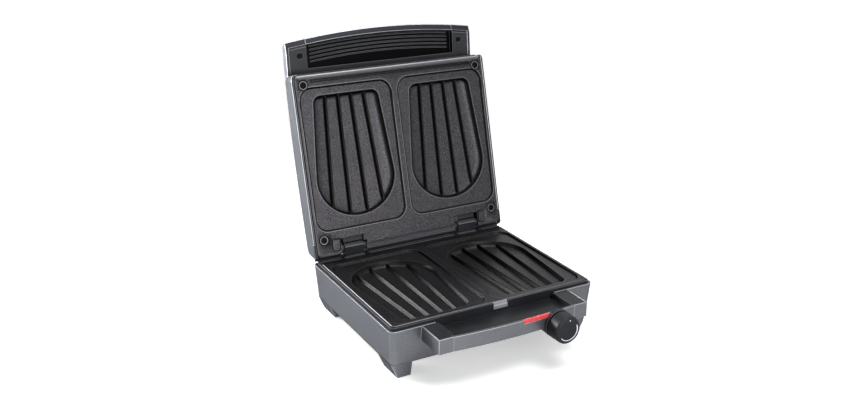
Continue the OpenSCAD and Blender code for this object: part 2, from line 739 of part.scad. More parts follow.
module handle_tray() {
    back = bezel_in + lip_t;
    color([0.1, 0.1, 0.11]) placed() difference() {
        union() {
            translate([0, 0, under_floor_z]) linear_extrude(tray_floor) polygon(
                [[-bar_seam_x + fit, -bar_block_out], [bar_seam_x - fit, -bar_block_out],
                 [bar_seam_x - fit, back], [-bar_seam_x + fit, back]]);
            // walls of the finger space beside the blocks
            both_sides() block(bar_seam_x - skin, bar_seam_x - fit / 2, -bar_block_out, wall - fit,
                               floor_z - eps, rim_h - block_top_t + 0.1);
            // black top plates of the side blocks
            both_sides() block(bar_seam_x - skin, bar_end_x - 1.3 - fit / 2, -bar_block_out + 1.3 + fit / 2,
                               -fit, rim_h - block_top_t + 0.05, rim_h - 0.2);
            // cradle under the floor for the lamp
            for (x = [lens_x + lens_l / 2 - 9, lens_x + lens_l / 2 + 8])
                block(x, x + 1, -34, -27, under_floor_z - 3, under_floor_z + eps);
        }
        // room for the curved bar
        translate([0, 0, under_floor_z - 1]) linear_extrude(bar_h)
            polygon(bar_band(-bar_seam_x - fit / 2, bar_seam_x + fit / 2, -2, bar_wall + fit));
    }
}

// Left to right along the inner side of the bar
function bar_outline(inset) = [for (i = [0 : bar_steps])
    let (x = (-bar_seam_x + fit) + 2 * (bar_seam_x - fit) * i / bar_steps) [x, bar_y(x, inset)]];

module handle_bar() {
    top = rim_h - bar_drop;
    color([0.43, 0.44, 0.47]) placed() difference() {
        translate([0, 0, bar_low_z]) linear_extrude(top - bar_low_z)
            polygon(bar_band(-bar_seam_x + fit / 2, bar_seam_x - fit / 2, 0, bar_wall));
        // seat of the lens, and the slot for its foot
        translate([0, 0, top - lens_drop]) linear_extrude(lens_drop + 1)
            polygon(bar_band(lens_x, lens_x + lens_l, -1, lens_back));
        translate([0, 0, top - lens_drop - 5]) linear_extrude(lens_drop + 6)
            polygon(bar_band(lens_x + 3, lens_x + lens_l - 3, 1.2, 2.6));
        rod_y(knob_x, knob_z, shaft_r + bush_t + fit, bar_front_y - 1, 0);
    }
}

module indicator_lens() {
    top = rim_h - bar_drop;
    n = floor(lens_l / lens_pitch);
    color([0.85, 0.16, 0.2]) placed() {
        translate([0, 0, top - lens_drop + fit / 2]) linear_extrude(lens_drop - fit / 2)
            polygon(bar_band(lens_x + fit / 2, lens_x + lens_l - fit / 2, 0, lens_back - fit / 2));
        translate([0, 0, top - lens_drop - 4.5]) linear_extrude(lens_drop + 1)
            polygon(bar_band(lens_x + 3.1, lens_x + lens_l - 3.1, 1.3, 2.5));
        for (i = [0 : n - 1]) {
            x = lens_x + (lens_l - (n - 0.5) * lens_pitch) / 2 + i * lens_pitch;
            translate([x, bar_y(x), top - lens_drop + 0.4]) rib_round(lens_pitch * 0.55);
        }
    }
}

// A fine rib up the front of the lens and back over its top
module rib_round(w) {
    proud = 0.45;
    along_x(0, w) polygon([
        [-proud, 0], [0.3, 0], [0.3, lens_drop - 0.9], [lens_back - 0.9, lens_drop - 0.9],
        [lens_back - 0.9, lens_drop - 0.4 + proud], [0, lens_drop - 0.4 + proud], [-proud, lens_drop - 0.8]]);
}

module neon_lamp() {
    r = 2.1;
    mid = lens_x + lens_l / 2;
    color([0.95, 0.75, 0.6]) placed() union() {
        rod_x(-30.5, under_floor_z - r - 0.1, r, mid - 6, mid + 6);
        rod_x(-30.5, under_floor_z - r - 0.1, 0.5, mid + 6 - eps, mid + 7.9);
    }
}

module knob_collar() {
    lip = 1;
    color([0.12, 0.12, 0.13]) placed() difference() {
        union() {
            difference() {
                rod_y(knob_x, knob_z, collar_r, collar_front_y, bar_y(knob_x, 0.7));
                // the bar's front face and its top and bottom edges
                translate([0, 0, bar_low_z - 0.1]) linear_extrude(bar_h + 0.2)
                    polygon(bar_band(knob_x - 20, knob_x + 20, -0.1, 20));
                // and the lens that ends beside it
                block(lens_x, lens_x + lens_l + 0.3, bar_front_y - 1, 0, rim_h - lens_drop - 1, rim_h + 1);
            }
            rod_y(knob_x, knob_z, shaft_r + bush_t, collar_front_y + 1, bar_y(knob_x, bar_wall));
        }
        // dished front, into which the knob's back runs, and the bearing of the shaft
        rod_y(knob_x, knob_z, collar_r - 1.8, collar_front_y - 1, collar_front_y + lip);
        rod_y(knob_x, knob_z, shaft_r + run_gap, collar_front_y - 2, 0);
    }
}

module thermostat_housing() {
    r = collar_r - 0.4;
    y0 = bar_y(knob_x, 0.8);
    color([0.09, 0.09, 0.1]) placed() difference() {
        intersection() {
            rod_y(knob_x, knob_z, r, y0, 1.2);
            block(knob_x - r - 1, knob_x + r + 1, y0 - 1, 3, knob_z - r - 1, bar_low_z - 0.05);
        }
        rod_y(knob_x, knob_z, r - skin, y0 + skin, 2);
        rod_y(knob_x, knob_z, shaft_r + bush_t + fit, y0 - 1, y0 + skin + 1);
    }
}

module thermostat() {
    w = 19;
    y0 = -31;
    y1 = -10;
    color([0.75, 0.72, 0.66]) placed() difference() {
        union() {
            block(knob_x - w / 2, knob_x + w / 2, y0, y1, knob_z - 9, under_floor_z);
            rod_y(knob_x, knob_z, min(shaft_r + bush_t, under_floor_z - knob_z), y0 - 3, y0 + 1);
            block(knob_x - 3, knob_x + 3, y1 - 1, -0.5, knob_z - 9, knob_z - 8);
        }
        rod_y(knob_x, knob_z, shaft_r + run_gap, y0 - 5, y0 + 14);
    }
}

module hinge_towers() {
    back = base_d - hinge_y - 0.4;
    seat = rim_h + rear_strip_up;
    color([0.1, 0.1, 0.11]) placed() both_sides() difference() {
        union() {
            rod_x(hinge_y, hinge_z, tower_r, tower_in_x, tower_out_x);
            along_x(tower_in_x, tower_out_x) polygon([
                [hinge_y - tower_r, seat], [hinge_y + back, seat], [hinge_y + tower_r * 0.9, hinge_z - 2],
                [hinge_y, hinge_z], [hinge_y - tower_r, hinge_z]]);
            block(tower_in_x - 2, tower_out_x + 2, hinge_y - tower_r - 3, hinge_y - 2.5, seat, seat + 1);
        }
        rod_x(hinge_y, hinge_z, pin_r, tower_in_x - 1, tower_out_x + 1);
    }
}

module hinge_pins() {
    color([0.7, 0.7, 0.72]) placed() both_sides()
        rod_x(hinge_y, hinge_z, pin_r, tower_in_x - free - ear_t - pin_over,
              tower_out_x + free + ear_t + pin_over);
}

// ---- Knob ----

module knob() {
    core = shaft_r + 2.4;
    depth = knob_l - 4;
    edge = 2.8;
    color([0.12, 0.12, 0.13]) placed() translate([knob_x, knob_back_y, knob_z]) rotate([90, 0, 0])
    difference() {
        rotate_extrude($fn = 96) polygon(concat(
            [[0, 0], [knob_back_r - 0.6, 0], [knob_back_r, 0.6], [knob_back_r, 3]],
            arc(knob_r - edge, knob_l - edge, edge, 0, 90, 5), [[0, knob_l]]));
        // hollow behind, round the hub
        translate([0, 0, -eps]) difference() {
            cylinder(r = knob_r - 2.6, h = depth);
            translate([0, 0, -1]) cylinder(r = core, h = depth + 2);
        }
        translate([0, 0, -eps]) cylinder(r = shaft_r, h = depth);
    }
}

module thermostat_shaft() {
    color([0.7, 0.7, 0.72]) placed() rod_y(knob_x, knob_z, shaft_r, knob_back_y - knob_l + 4.1, -18);
}

// ---- Lid ----

// Half-width of the lid at a height, drawn in near its front and rear ends to round the corners
function lid_half_w(y, z, inset) =
    let (r = lid_corner_r, a = 0.8 * max(0, lid_front_y + r - y), b = max(0, y - (lid_back_y - r)),
         e = min(r, max(a, b)))
    half_w - inset - lid_draft * (z - lid_rim_z) / lid_crown - (r - sqrt(r * r - e * e));

function lid_ring(y, inset, low) =
    let (z1 = max(min(top_z(y) - inset, top_z(min(y + inset, lid_back_y))), low + 0.4),
         r = min(lid_edge_r, (z1 - low) * 0.8),
         w0 = lid_half_w(y, low, inset), w1 = lid_half_w(y, z1, inset))
    concat([[-w0, y, low]],
           [for (p = arc(-w1 + r, z1 - r, r, 180, 90, 5)) [p[0], y, p[1]]],
           [for (p = arc(w1 - r, z1 - r, r, 90, 0, 5)) [p[0], y, p[1]]],
           [[w0, y, low]]);

// Places of the lid's cross-sections, closer together where its outline turns
lid_round_y = lid_chamfer_y - 8;   // where the top starts to round down to the rear
lid_stations = let (from = lid_front_y + lid_corner_r) concat(
    [for (i = [0 : 4]) lid_front_y + lid_corner_r * (1 - cos(i * 22.5))],
    [for (i = [1 : 14]) from + (lid_round_y - from) * i / 14],
    [for (i = [1 : 4]) lid_round_y + 2 * i],
    [for (i = [1 : 4]) lid_chamfer_y + (lid_back_y - lid_chamfer_y) * i / 4]);
lid_inner_stations = let (from = lid_front_y + lid_skin) concat(
    [for (i = [0 : 16]) from + (lid_round_y - from) * i / 16],
    [for (i = [1 : 5]) lid_round_y + (lid_back_y - wall - lid_round_y) * i / 5]);

// Section of the lid handle at a place x: [y, z] points of its outer skin, from the lid's front
// wall over the top and round the nose to the lower edge of the front band
function grip_y(x) = lid_front_y - grip_out + grip_bow * pow(x / grip_half_w, 2);
function grip_low_z(y) =
    upper_face_z + grip_low_back + (grip_low_front - grip_low_back) * (lid_front_y - y) / grip_low_run;
function grip_section(x, inset, sink) =
    let (nose = grip_y(x) + inset, r = grip_nose_r - inset * 0.6, back = lid_front_y + 1.5,
         z1 = arch_z(nose + r) - inset * 0.5, low_y = nose + r + 1.4 - inset * 0.2)
    concat([[back, grip_low_z(back) + sink]],
           [for (i = [0 : 4]) let (y = back + (nose + r - back) * i / 5) [y, arch_z(y) - inset * 0.5]],
           [for (i = [0 : 6]) let (a = 90 + 100 * i / 6) [nose + r + r * cos(a), z1 - r + r * sin(a)]],
           [[low_y, grip_low_z(low_y) + sink]]);

module grip_loft(half_l, inset, sink) {
    loft([for (i = [0 : grip_stations]) let (x = -half_l + 2 * half_l * i / grip_stations)
          [for (p = grip_section(x, inset, sink)) [x, p[0], p[1]]]]);
}

// Outer skin of the handle: side walls, top and front band round the grip's insert
module grip_skin() {
    difference() {
        grip_loft(grip_half_w, 0, 0);
        grip_loft(grip_half_w - grip_wall, grip_band, -3);
    }
}

// Points from left to right along the bow of the handle, this far behind its front
function bowed(x, from_nose) =
    [for (i = [0 : 12]) let (u = -x + 2 * x * i / 12) [u, grip_y(u) + from_nose]];

module band_space(x, gap) {
    linear_extrude(tall) polygon(concat(
        bowed(x, 16 - gap), [[x, grip_y(0) - 20], [-x, grip_y(0) - 20]]));
}

module hinge_slots(gap) {
    both_sides() block(slot_in_x - gap, slot_out_x + gap, slot_front_y - gap, lid_back_y + 5,
                       upper_face_z - 1, upper_face_z + slot_up + gap);
}

module screw_bosses() {
    both_sides() for (y = [screw_front_y, screw_back_y])
        translate([screw_x, y, upper_face_z + plate_t]) cylinder(r = boss_r, h = lid_crown);
}

module lid_shell() {
    color([0.43, 0.44, 0.47]) in_open_pose() difference() {
        union() {
            difference() {
                loft([for (y = lid_stations) lid_ring(y, 0, lid_rim_z)]);
                loft([for (y = lid_inner_stations) lid_ring(y, wall, lid_rim_z - 1)]);
            }
            difference() {
                grip_skin();
                band_space(grip_seam_x + fit / 2, 0);
            }
            intersection() {
                screw_bosses();
                loft([for (y = lid_stations) lid_ring(y, 1, lid_rim_z)]);
            }
        }
        block(-half_w - 1, half_w + 1, lid_rear_step_y, lid_back_y + 1, lid_rim_z - 1, lid_rear_rim_z);
        hinge_slots(0);
        // open towards the grip's insert
        block(-grip_half_w + grip_wall, grip_half_w - grip_wall, lid_front_y - 1, lid_front_y + lid_skin + 1,
              lid_rim_z - 1, arch_z(lid_front_y + 1.5) - grip_band / 2 + 0.05);
        // room for the front corners of the plate
        block(-upper_half_w - fit, upper_half_w + fit, lid_front_y - 1, lid_front_y + lid_skin + 1,
              lid_rim_z - 1, upper_face_z + plate_t + 0.1);
        both_sides() for (y = [screw_front_y, screw_back_y])
            translate([screw_x, y, upper_face_z]) cylinder(r = thread_r, h = 17);
    }
}

module lid_bezel() {
    z0 = upper_face_z + plate_t + 0.05;
    z1 = z0 + 3;
    back = lid_back_y - 3.4;
    color([0.09, 0.09, 0.1]) in_open_pose() difference() {
        union() {
            difference() {
                slab(-upper_half_w + 0.8, upper_half_w - 0.8, lid_front_y + lid_skin + 2, back, 5, z0, z1);
                slab(-upper_half_w + 5, upper_half_w - 5, lid_front_y + lid_skin + 7, slot_front_y - 8.9, 5,
                     z0 - 1, z1 + 1);
            }
            // rear sill with fine ridges, between the hinges and outside them
            intersection() {
                along_x(-upper_half_w + 3, upper_half_w - 3) polygon(sill_profile(back, z0 + eps));
                translate([0, 0, -eps])
                    slab(-upper_half_w + 2, upper_half_w - 2, 0, back, 5, lid_rim_z - 2, z1);
            }
        }
        hinge_slots(0.05);
        both_sides() for (y = [screw_front_y, screw_back_y])
            translate([screw_x, y, z0 - 1]) cylinder(r = boss_r + fit, h = 6);
        both_sides() block(slot_out_x - eps, upper_half_w + 1, slot_front_y, upper_back_y + fit,
                           lid_rim_z - 3, z0);
    }
}

// Rear sill: a step down from the plate with three ridges
function sill_profile(back, z0) =
    let (y0 = upper_mid_back_y + fit, z = upper_face_z + 2, pitch = 2.1, first = back - 3 * pitch)
    concat([[y0, z0], [y0, z]],
           [for (i = [0 : 2]) let (y = first + i * pitch) each [[y, z], [y + 0.5, z - 0.8], [y + 1, z]]],
           [[back, z], [back, z0]]);

module upper_plate() {
    hole_r = 3.9;
    color([0.27, 0.26, 0.26]) on_upper() difference() {
        union() {
            slab(-upper_half_w, upper_half_w, upper_front_y, upper_back_y, 6, -plate_t, 0);
            pocket_metal();
            both_sides() for (y = [screw_front_y, screw_back_y])
                translate([screw_x, y, -1]) cylinder(r = boss_r, h = 1.3);
            both_sides() block(slot_out_x + 1.5, slot_out_x + 11, slot_front_y, upper_back_y - 5, -1, 0.3);
        }
        pocket_cuts(upper_half_w - 2.8, upper_front_y + 15);
        // long groove between the front screws
        slab(-screw_x + 8, screw_x - 8, -3, 0, 1.4, -1.2, 1);
        // notches for the hinges, and the shorter middle
        both_sides() block(slot_in_x - 0.1, slot_out_x + 0.1, slot_front_y, upper_back_y + 1, -shield_q, 2);
        block(-slot_in_x - 1, slot_in_x + 1, upper_mid_back_y, upper_back_y + 1, -plate_t - 1, 1);
        both_sides() for (y = [screw_front_y, screw_back_y]) {
            translate([screw_x, y, -3]) cylinder(r = hole_r, h = 4);
            translate([screw_x, y, -plate_t - 1]) cylinder(r = screw_r + screw_play, h = plate_t);
        }
    }
}

module upper_plate_screws() {
    color([0.35, 0.35, 0.36]) on_upper() both_sides() for (y = [screw_front_y, screw_back_y])
        translate([screw_x, y, -3]) difference() {
            pan_screw(12);
            translate([0, 0, head_t - 0.9]) cylinder(r = 1.4, h = 2, $fn = 6);
        }
}

module upper_element() {
    color([0.5, 0.47, 0.44]) on_upper() element();
}

module upper_reflector() {
    color([0.75, 0.75, 0.76]) on_upper() shield();
}

module shield_screws() {
    color([0.6, 0.6, 0.62]) on_upper() both_sides() for (y = [post_front_y, post_back_y])
        translate([post_x, y, -shield_q - shield_t]) mirror([0, 0, 1]) pan_screw(8);
}

module grip_screw_places() {
    both_sides() translate([grip_screw_x, grip_screw_y, 0]) children();
}

// Black insert under the lid handle, with a ribbed finger recess that follows the bow
module lid_handle_insert() {
    recess_x = grip_seam_x - 0.8;
    back = lid_front_y - 7;
    color([0.1, 0.1, 0.11]) in_open_pose() difference() {
        union() {
            grip_loft(grip_half_w - grip_wall - fit / 2, grip_band + fit / 2, 0.3);
            // front wall of the lid under the handle
            block(-grip_half_w + grip_wall + fit / 2, grip_half_w - grip_wall - fit / 2,
                  lid_front_y - 0.8, lid_front_y + lid_skin - fit, upper_face_z + plate_t + 0.5,
                  grip_low_z(lid_front_y) + 4);
        }
        difference() {
            linear_extrude(tall) polygon(concat(
                bowed(recess_x, grip_band + 2.2),
                [[recess_x, back], [-recess_x, back]]));
            along_x(-recess_x - 1, recess_x + 1) polygon(concat(
                [for (i = [0 : 8]) let (y = back + 2 + (grip_y(0) - back - 4) * i / 8)
                    [y, arch_z(y) - grip_roof]],
                [[grip_y(0) - 2, tall], [back + 2, tall]]));
            block(-recess_x - 1, recess_x + 1, grip_y(0) - 9, back + 9, -1, upper_face_z + 2);
            // ribs for the fingertips
            for (k = [0 : 4]) grip_rib(recess_x - 6, grip_rib_first + k * grip_rib_pitch);
        }
        grip_screw_places() translate([0, 0, grip_screw_z - 12]) {
            cylinder(r = head_r + 1, h = 12);
            cylinder(r = screw_r + fit, h = 17);
        }
    }
}

module grip_rib(half_l, from_nose) {
    z = arch_z(grip_y(0) + from_nose) - grip_roof;
    back_edge = bowed(half_l, from_nose + grip_rib_t);
    translate([0, 0, z - 1.6]) linear_extrude(3) polygon(concat(
        bowed(half_l, from_nose), [for (i = [len(back_edge) - 1 : -1 : 0]) back_edge[i]]));
}

module lid_handle_trim() {
    color([0.43, 0.44, 0.47]) in_open_pose() intersection() {
        grip_skin();
        band_space(grip_seam_x - fit / 2, 0.15);
    }
}

module lid_handle_screws() {
    color([0.3, 0.3, 0.31]) in_open_pose() grip_screw_places() translate([0, 0, grip_screw_z])
        mirror([0, 0, 1]) difference() {
            pan_screw(4.5);
            translate([0, 0, head_t - 0.9]) cylinder(r = 1.4, h = 2, $fn = 6);
        }
}

module lid_hinge_ears() {
    z_top = upper_face_z + slot_up + 3;
    z_bar = upper_face_z + slot_up;
    color([0.12, 0.12, 0.13]) in_open_pose() both_sides() difference() {
        union() {
            for (x0 = [tower_in_x - free - ear_t, tower_out_x + free]) {
                rod_x(hinge_y, hinge_z, 5.6, x0, x0 + ear_t);
                along_x(x0, x0 + ear_t) polygon([
                    [hinge_y - 5.6, hinge_z], [hinge_y + 5.6, hinge_z], [hinge_y + 1, z_bar + eps],
                    [hinge_y - ear_front, z_bar + eps], [hinge_y - 10, hinge_z + 3]]);
            }
            block(slot_in_x - 2, slot_out_x + 2, hinge_y - 15, hinge_y + 1, z_bar, z_top);
        }
        rod_x(hinge_y, hinge_z, pin_r + run_gap, slot_in_x - 3, slot_out_x + 3);
    }
}

base_shell();
bottom_cover();
cover_screws();
foot_pads();
base_bezel();
drip_spout();
lower_plate();
lower_plate_screws();
lower_element();
lower_reflector();
thermal_fuse();
terminal_block();
cord_inlet();
handle_tray();
handle_bar();
indicator_lens();
neon_lamp();
knob_collar();
thermostat_housing();
thermostat();
hinge_towers();
hinge_pins();
knob();
thermostat_shaft();
lid_shell();
lid_bezel();
upper_plate();
upper_plate_screws();
upper_element();
upper_reflector();
shield_screws();
lid_handle_insert();
lid_handle_trim();
lid_handle_screws();
lid_hinge_ears();
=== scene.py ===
import json
import math
import bpy
import bmesh
import numpy as np
from mathutils import Matrix, Vector
from mathutils.geometry import delaunay_2d_cdt

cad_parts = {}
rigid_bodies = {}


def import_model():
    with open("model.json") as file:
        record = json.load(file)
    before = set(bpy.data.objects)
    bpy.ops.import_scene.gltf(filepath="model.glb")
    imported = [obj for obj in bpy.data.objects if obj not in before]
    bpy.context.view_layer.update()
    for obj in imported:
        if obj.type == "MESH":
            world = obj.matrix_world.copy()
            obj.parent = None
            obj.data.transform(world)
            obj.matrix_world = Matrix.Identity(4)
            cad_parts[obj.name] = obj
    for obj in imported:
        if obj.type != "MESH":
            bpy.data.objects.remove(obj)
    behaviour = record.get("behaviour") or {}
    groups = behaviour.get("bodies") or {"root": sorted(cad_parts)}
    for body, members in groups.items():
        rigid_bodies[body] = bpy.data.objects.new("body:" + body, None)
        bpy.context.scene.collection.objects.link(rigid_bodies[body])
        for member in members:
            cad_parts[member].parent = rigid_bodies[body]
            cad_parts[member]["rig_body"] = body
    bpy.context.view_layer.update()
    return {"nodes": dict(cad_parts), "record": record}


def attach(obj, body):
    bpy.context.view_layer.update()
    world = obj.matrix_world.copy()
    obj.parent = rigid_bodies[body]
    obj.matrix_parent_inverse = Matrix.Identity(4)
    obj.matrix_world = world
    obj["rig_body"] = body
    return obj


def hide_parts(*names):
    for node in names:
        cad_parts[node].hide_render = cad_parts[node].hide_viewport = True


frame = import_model()
scene = bpy.context.scene
mm = 0.001
print("frame loaded:", len(frame["nodes"]), "nodes")

# Where things are, in millimetres from the front wall of the base, with the lid shut
place = {
    "midY": 112.402,        # the frame's origin lies this far behind the front wall
    "plateZ": 63.3,         # cooking face of the lower plate
    "upperZ": 63.8,         # cooking face of the upper plate, lid shut
    "hingeY": 202.0,
    "hingeZ": 71.3,
    "openDeg": 105.1,
}


# from those millimetres to metres in the frame
def baseToRow(points):
    return (np.asarray(points, float) - [0, place["midY"], 0]) * mm


# drawn with the lid shut, then swung open about the hinge
def lidToRow(points):
    p = np.asarray(points, float)
    a = math.radians(place["openDeg"])
    dy, dz = p[:, 1] - place["hingeY"], p[:, 2] - place["hingeZ"]
    y = place["hingeY"] + math.cos(a) * dy + math.sin(a) * dz
    z = place["hingeZ"] - math.sin(a) * dy + math.cos(a) * dz
    return baseToRow(np.column_stack([p[:, 0], y, z]))


def hexColour(code):
    parts = [int(code[i:i + 2], 16) / 255 for i in (1, 3, 5)]
    return tuple(c / 12.92 if c <= 0.04045 else ((c + 0.055) / 1.055) ** 2.4 for c in parts) + (1.0,)


# one node with its settings and links; "stops" are the places and colours of a ramp
def add(tree, kind, settings=None, links=None):
    made = tree.nodes.new(kind)
    for key, value in (settings or {}).items():
        if key == "stops":
            for stop, (at, code) in zip(made.color_ramp.elements, value):
                stop.position, stop.color = at, hexColour(code)
        elif isinstance(key, str) and hasattr(made, key):
            setattr(made, key, value)
        else:
            made.inputs[key].default_value = value
    for key, source in (links or {}).items():
        tree.links.new(source, made.inputs[key])
    return made


def startMaterial(name, look):
    material = bpy.data.materials.new(name)
    material.use_nodes = True
    tree = material.node_tree
    shader = tree.nodes["Principled BSDF"]
    for key, value in look.items():
        shader.inputs[key].default_value = value
    where = add(tree, "ShaderNodeTexCoord").outputs["Object"]
    return material, tree, shader, where


def finishWith(tree, shader, height, bump, depthMm, colour, roughness=None):
    relief = add(tree, "ShaderNodeBump", {"Strength": bump, "Distance": depthMm * mm}, {"Height": height})
    tree.links.new(relief.outputs["Normal"], shader.inputs["Normal"])
    tree.links.new(colour, shader.inputs["Base Color"])
    if roughness is not None:
        tree.links.new(roughness, shader.inputs["Roughness"])


def perMm(size):
    return 1.0 / (size * mm)  # texture scale for a feature of this size


noiseSpan = {"From Min": 0.3, "From Max": 0.7}  # where most of a noise texture's values lie


def spread(roughness, look):
    return {"To Min": roughness - look["smoother"], "To Max": roughness + look["rougher"]}


# painted highlight: the rounded edges of a moulding, drawn lighter in the edge colour
def paintEdgeHighlight(tree, colour, edgeHighlightColour, share):
    edge = add(tree, "ShaderNodeAttribute", {"attribute_name": "edge"})
    amount = add(tree, "ShaderNodeMath", {"operation": "MULTIPLY", 1: share}, {0: edge.outputs["Fac"]})
    mixed = add(tree, "ShaderNodeMix", {"data_type": "RGBA", 7: hexColour(edgeHighlightColour)},
                {"Factor": amount.outputs[0], 6: colour})
    return mixed.outputs[2]


# ABS sprayed with silver-grey metallic lacquer: a soft sheen with fine flake sparkle.
# Real flakes are near 0.05 mm; they are drawn coarser so that they show.
def lacquer():
    look = {"flakeMm": 0.9, "cloudMm": 60, "cloudShare": 0.35, "dark": "#6b6d72", "darkAt": 0.45,
            "light": "#828489", "lightAt": 0.90, "metallic": 0.85, "ior": 1.5, "grazing": "#4a4b4f",
            # the edge colour is a painted highlight on the rounded edges
            "roughness": 0.38, "smoother": 0.05, "rougher": 0.06, "edge": "#c4c6ca", "edgeHighlightShare": 0.7,
            "orangePeelMm": 2.2, "peelBump": 0.10, "peelDepthMm": 0.1,
            # painted shade: faces turned this way, the front band of the lid's handle, are drawn darker than
            # the rest
            "rim": "#313236", "shadedFacing": (0.0, -0.9655, 0.2605), "rimFrom": 0.970, "rimTo": 0.978}
    material, tree, shader, where = startMaterial("sprayedMetallicLacquer", {
        "Metallic": look["metallic"], "Roughness": look["roughness"], "IOR": look["ior"],
        "Specular Tint": hexColour(look["grazing"])})
    flake = add(tree, "ShaderNodeTexNoise", {"Scale": perMm(look["flakeMm"]), "Detail": 2.0},
                {"Vector": where})
    cloud = add(tree, "ShaderNodeTexNoise", {"Scale": perMm(look["cloudMm"]), "Detail": 3.0},
                {"Vector": where})
    both = add(tree, "ShaderNodeMath", {"operation": "MULTIPLY_ADD", 1: look["cloudShare"]},
               {0: cloud.outputs["Fac"], 2: flake.outputs["Fac"]})
    stops = ((look["darkAt"], look["dark"]), (look["lightAt"], look["light"]))
    ramp = add(tree, "ShaderNodeValToRGB", {"stops": stops}, {"Fac": both.outputs[0]})
    gloss = add(tree, "ShaderNodeMapRange", {**noiseSpan, **spread(look["roughness"], look)},
                {"Value": flake.outputs["Fac"]})
    peel = add(tree, "ShaderNodeTexNoise", {"Scale": perMm(look["orangePeelMm"]), "Detail": 1.0},
               {"Vector": where})
    # painted shade: faces that turn this way are mixed towards the darker rim colour
    rim = add(tree, "ShaderNodeVectorMath", {"operation": "DOT_PRODUCT", 1: look["shadedFacing"]},
              {0: add(tree, "ShaderNodeTexCoord").outputs["Normal"]})
    paintedShadeAmount = add(tree, "ShaderNodeMapRange", {"From Min": look["rimFrom"], "From Max": look["rimTo"]},
                {"Value": rim.outputs["Value"]})
    withPaintedShade = add(tree, "ShaderNodeMix", {"data_type": "RGBA", 7: hexColour(look["rim"])},
                {"Factor": paintedShadeAmount.outputs["Result"], 6: ramp.outputs["Color"]})
    finishWith(tree, shader, peel.outputs["Fac"], look["peelBump"], look["peelDepthMm"],
               paintEdgeHighlight(tree, withPaintedShade.outputs[2], look["edge"], look["edgeHighlightShare"]),
               gloss.outputs["Result"])
    return material


# Glass-filled nylon or ABS, moulded with a fine spark-eroded grain: dull sheen, no gloss.
# The real grain is 0.1 to 0.2 mm; it is drawn coarser so that it shows.
def grainedMoulding(name, dark, light, roughness, grainMm, depth, edgeHighlightColour="#5c5d61"):
    look = {"ior": 1.46, "shine": 0.22, "wearMm": 35, "darkAt": 0.3, "lightAt": 0.75, "smoother": 0.06,
            "rougher": 0.08, "bump": 0.35, "hollow": "#040405", "recessShadeShine": 0.03}
    material, tree, shader, where = startMaterial(name, {"Roughness": roughness, "IOR": look["ior"],
                                                         "Specular IOR Level": look["shine"]})
    grain = add(tree, "ShaderNodeTexNoise", {"Scale": perMm(grainMm), "Detail": 3.0, "Roughness": 0.6},
                {"Vector": where})
    wear = add(tree, "ShaderNodeTexNoise", {"Scale": perMm(look["wearMm"]), "Detail": 4.0},
               {"Vector": where})
    ramp = add(tree, "ShaderNodeValToRGB", {"stops": ((look["darkAt"], dark), (look["lightAt"], light))},
               {"Fac": wear.outputs["Fac"]})
    gloss = add(tree, "ShaderNodeMapRange", {**noiseSpan, **spread(roughness, look)},
                {"Value": wear.outputs["Fac"]})
    # painted highlight: faces marked edge are drawn in the lighter edge colour
    edged = paintEdgeHighlight(tree, ramp.outputs["Color"], edgeHighlightColour, 1.0)
    # painted shade: faces marked hollow, in the handle's ribbed recess, are drawn near black and duller
    hollow = add(tree, "ShaderNodeAttribute", {"attribute_name": "hollow"}).outputs["Fac"]
    shaded = add(tree, "ShaderNodeMix", {"data_type": "RGBA", 7: hexColour(look["hollow"])},
                 {"Factor": hollow, 6: edged})
    level = add(tree, "ShaderNodeMapRange", {"To Min": look["shine"], "To Max": look["recessShadeShine"]},
                {"Value": hollow})
    tree.links.new(level.outputs["Result"], shader.inputs["Specular IOR Level"])
    finishWith(tree, shader, grain.outputs["Fac"], look["bump"], depth, shaded.outputs[2],
               gloss.outputs["Result"])
    return material


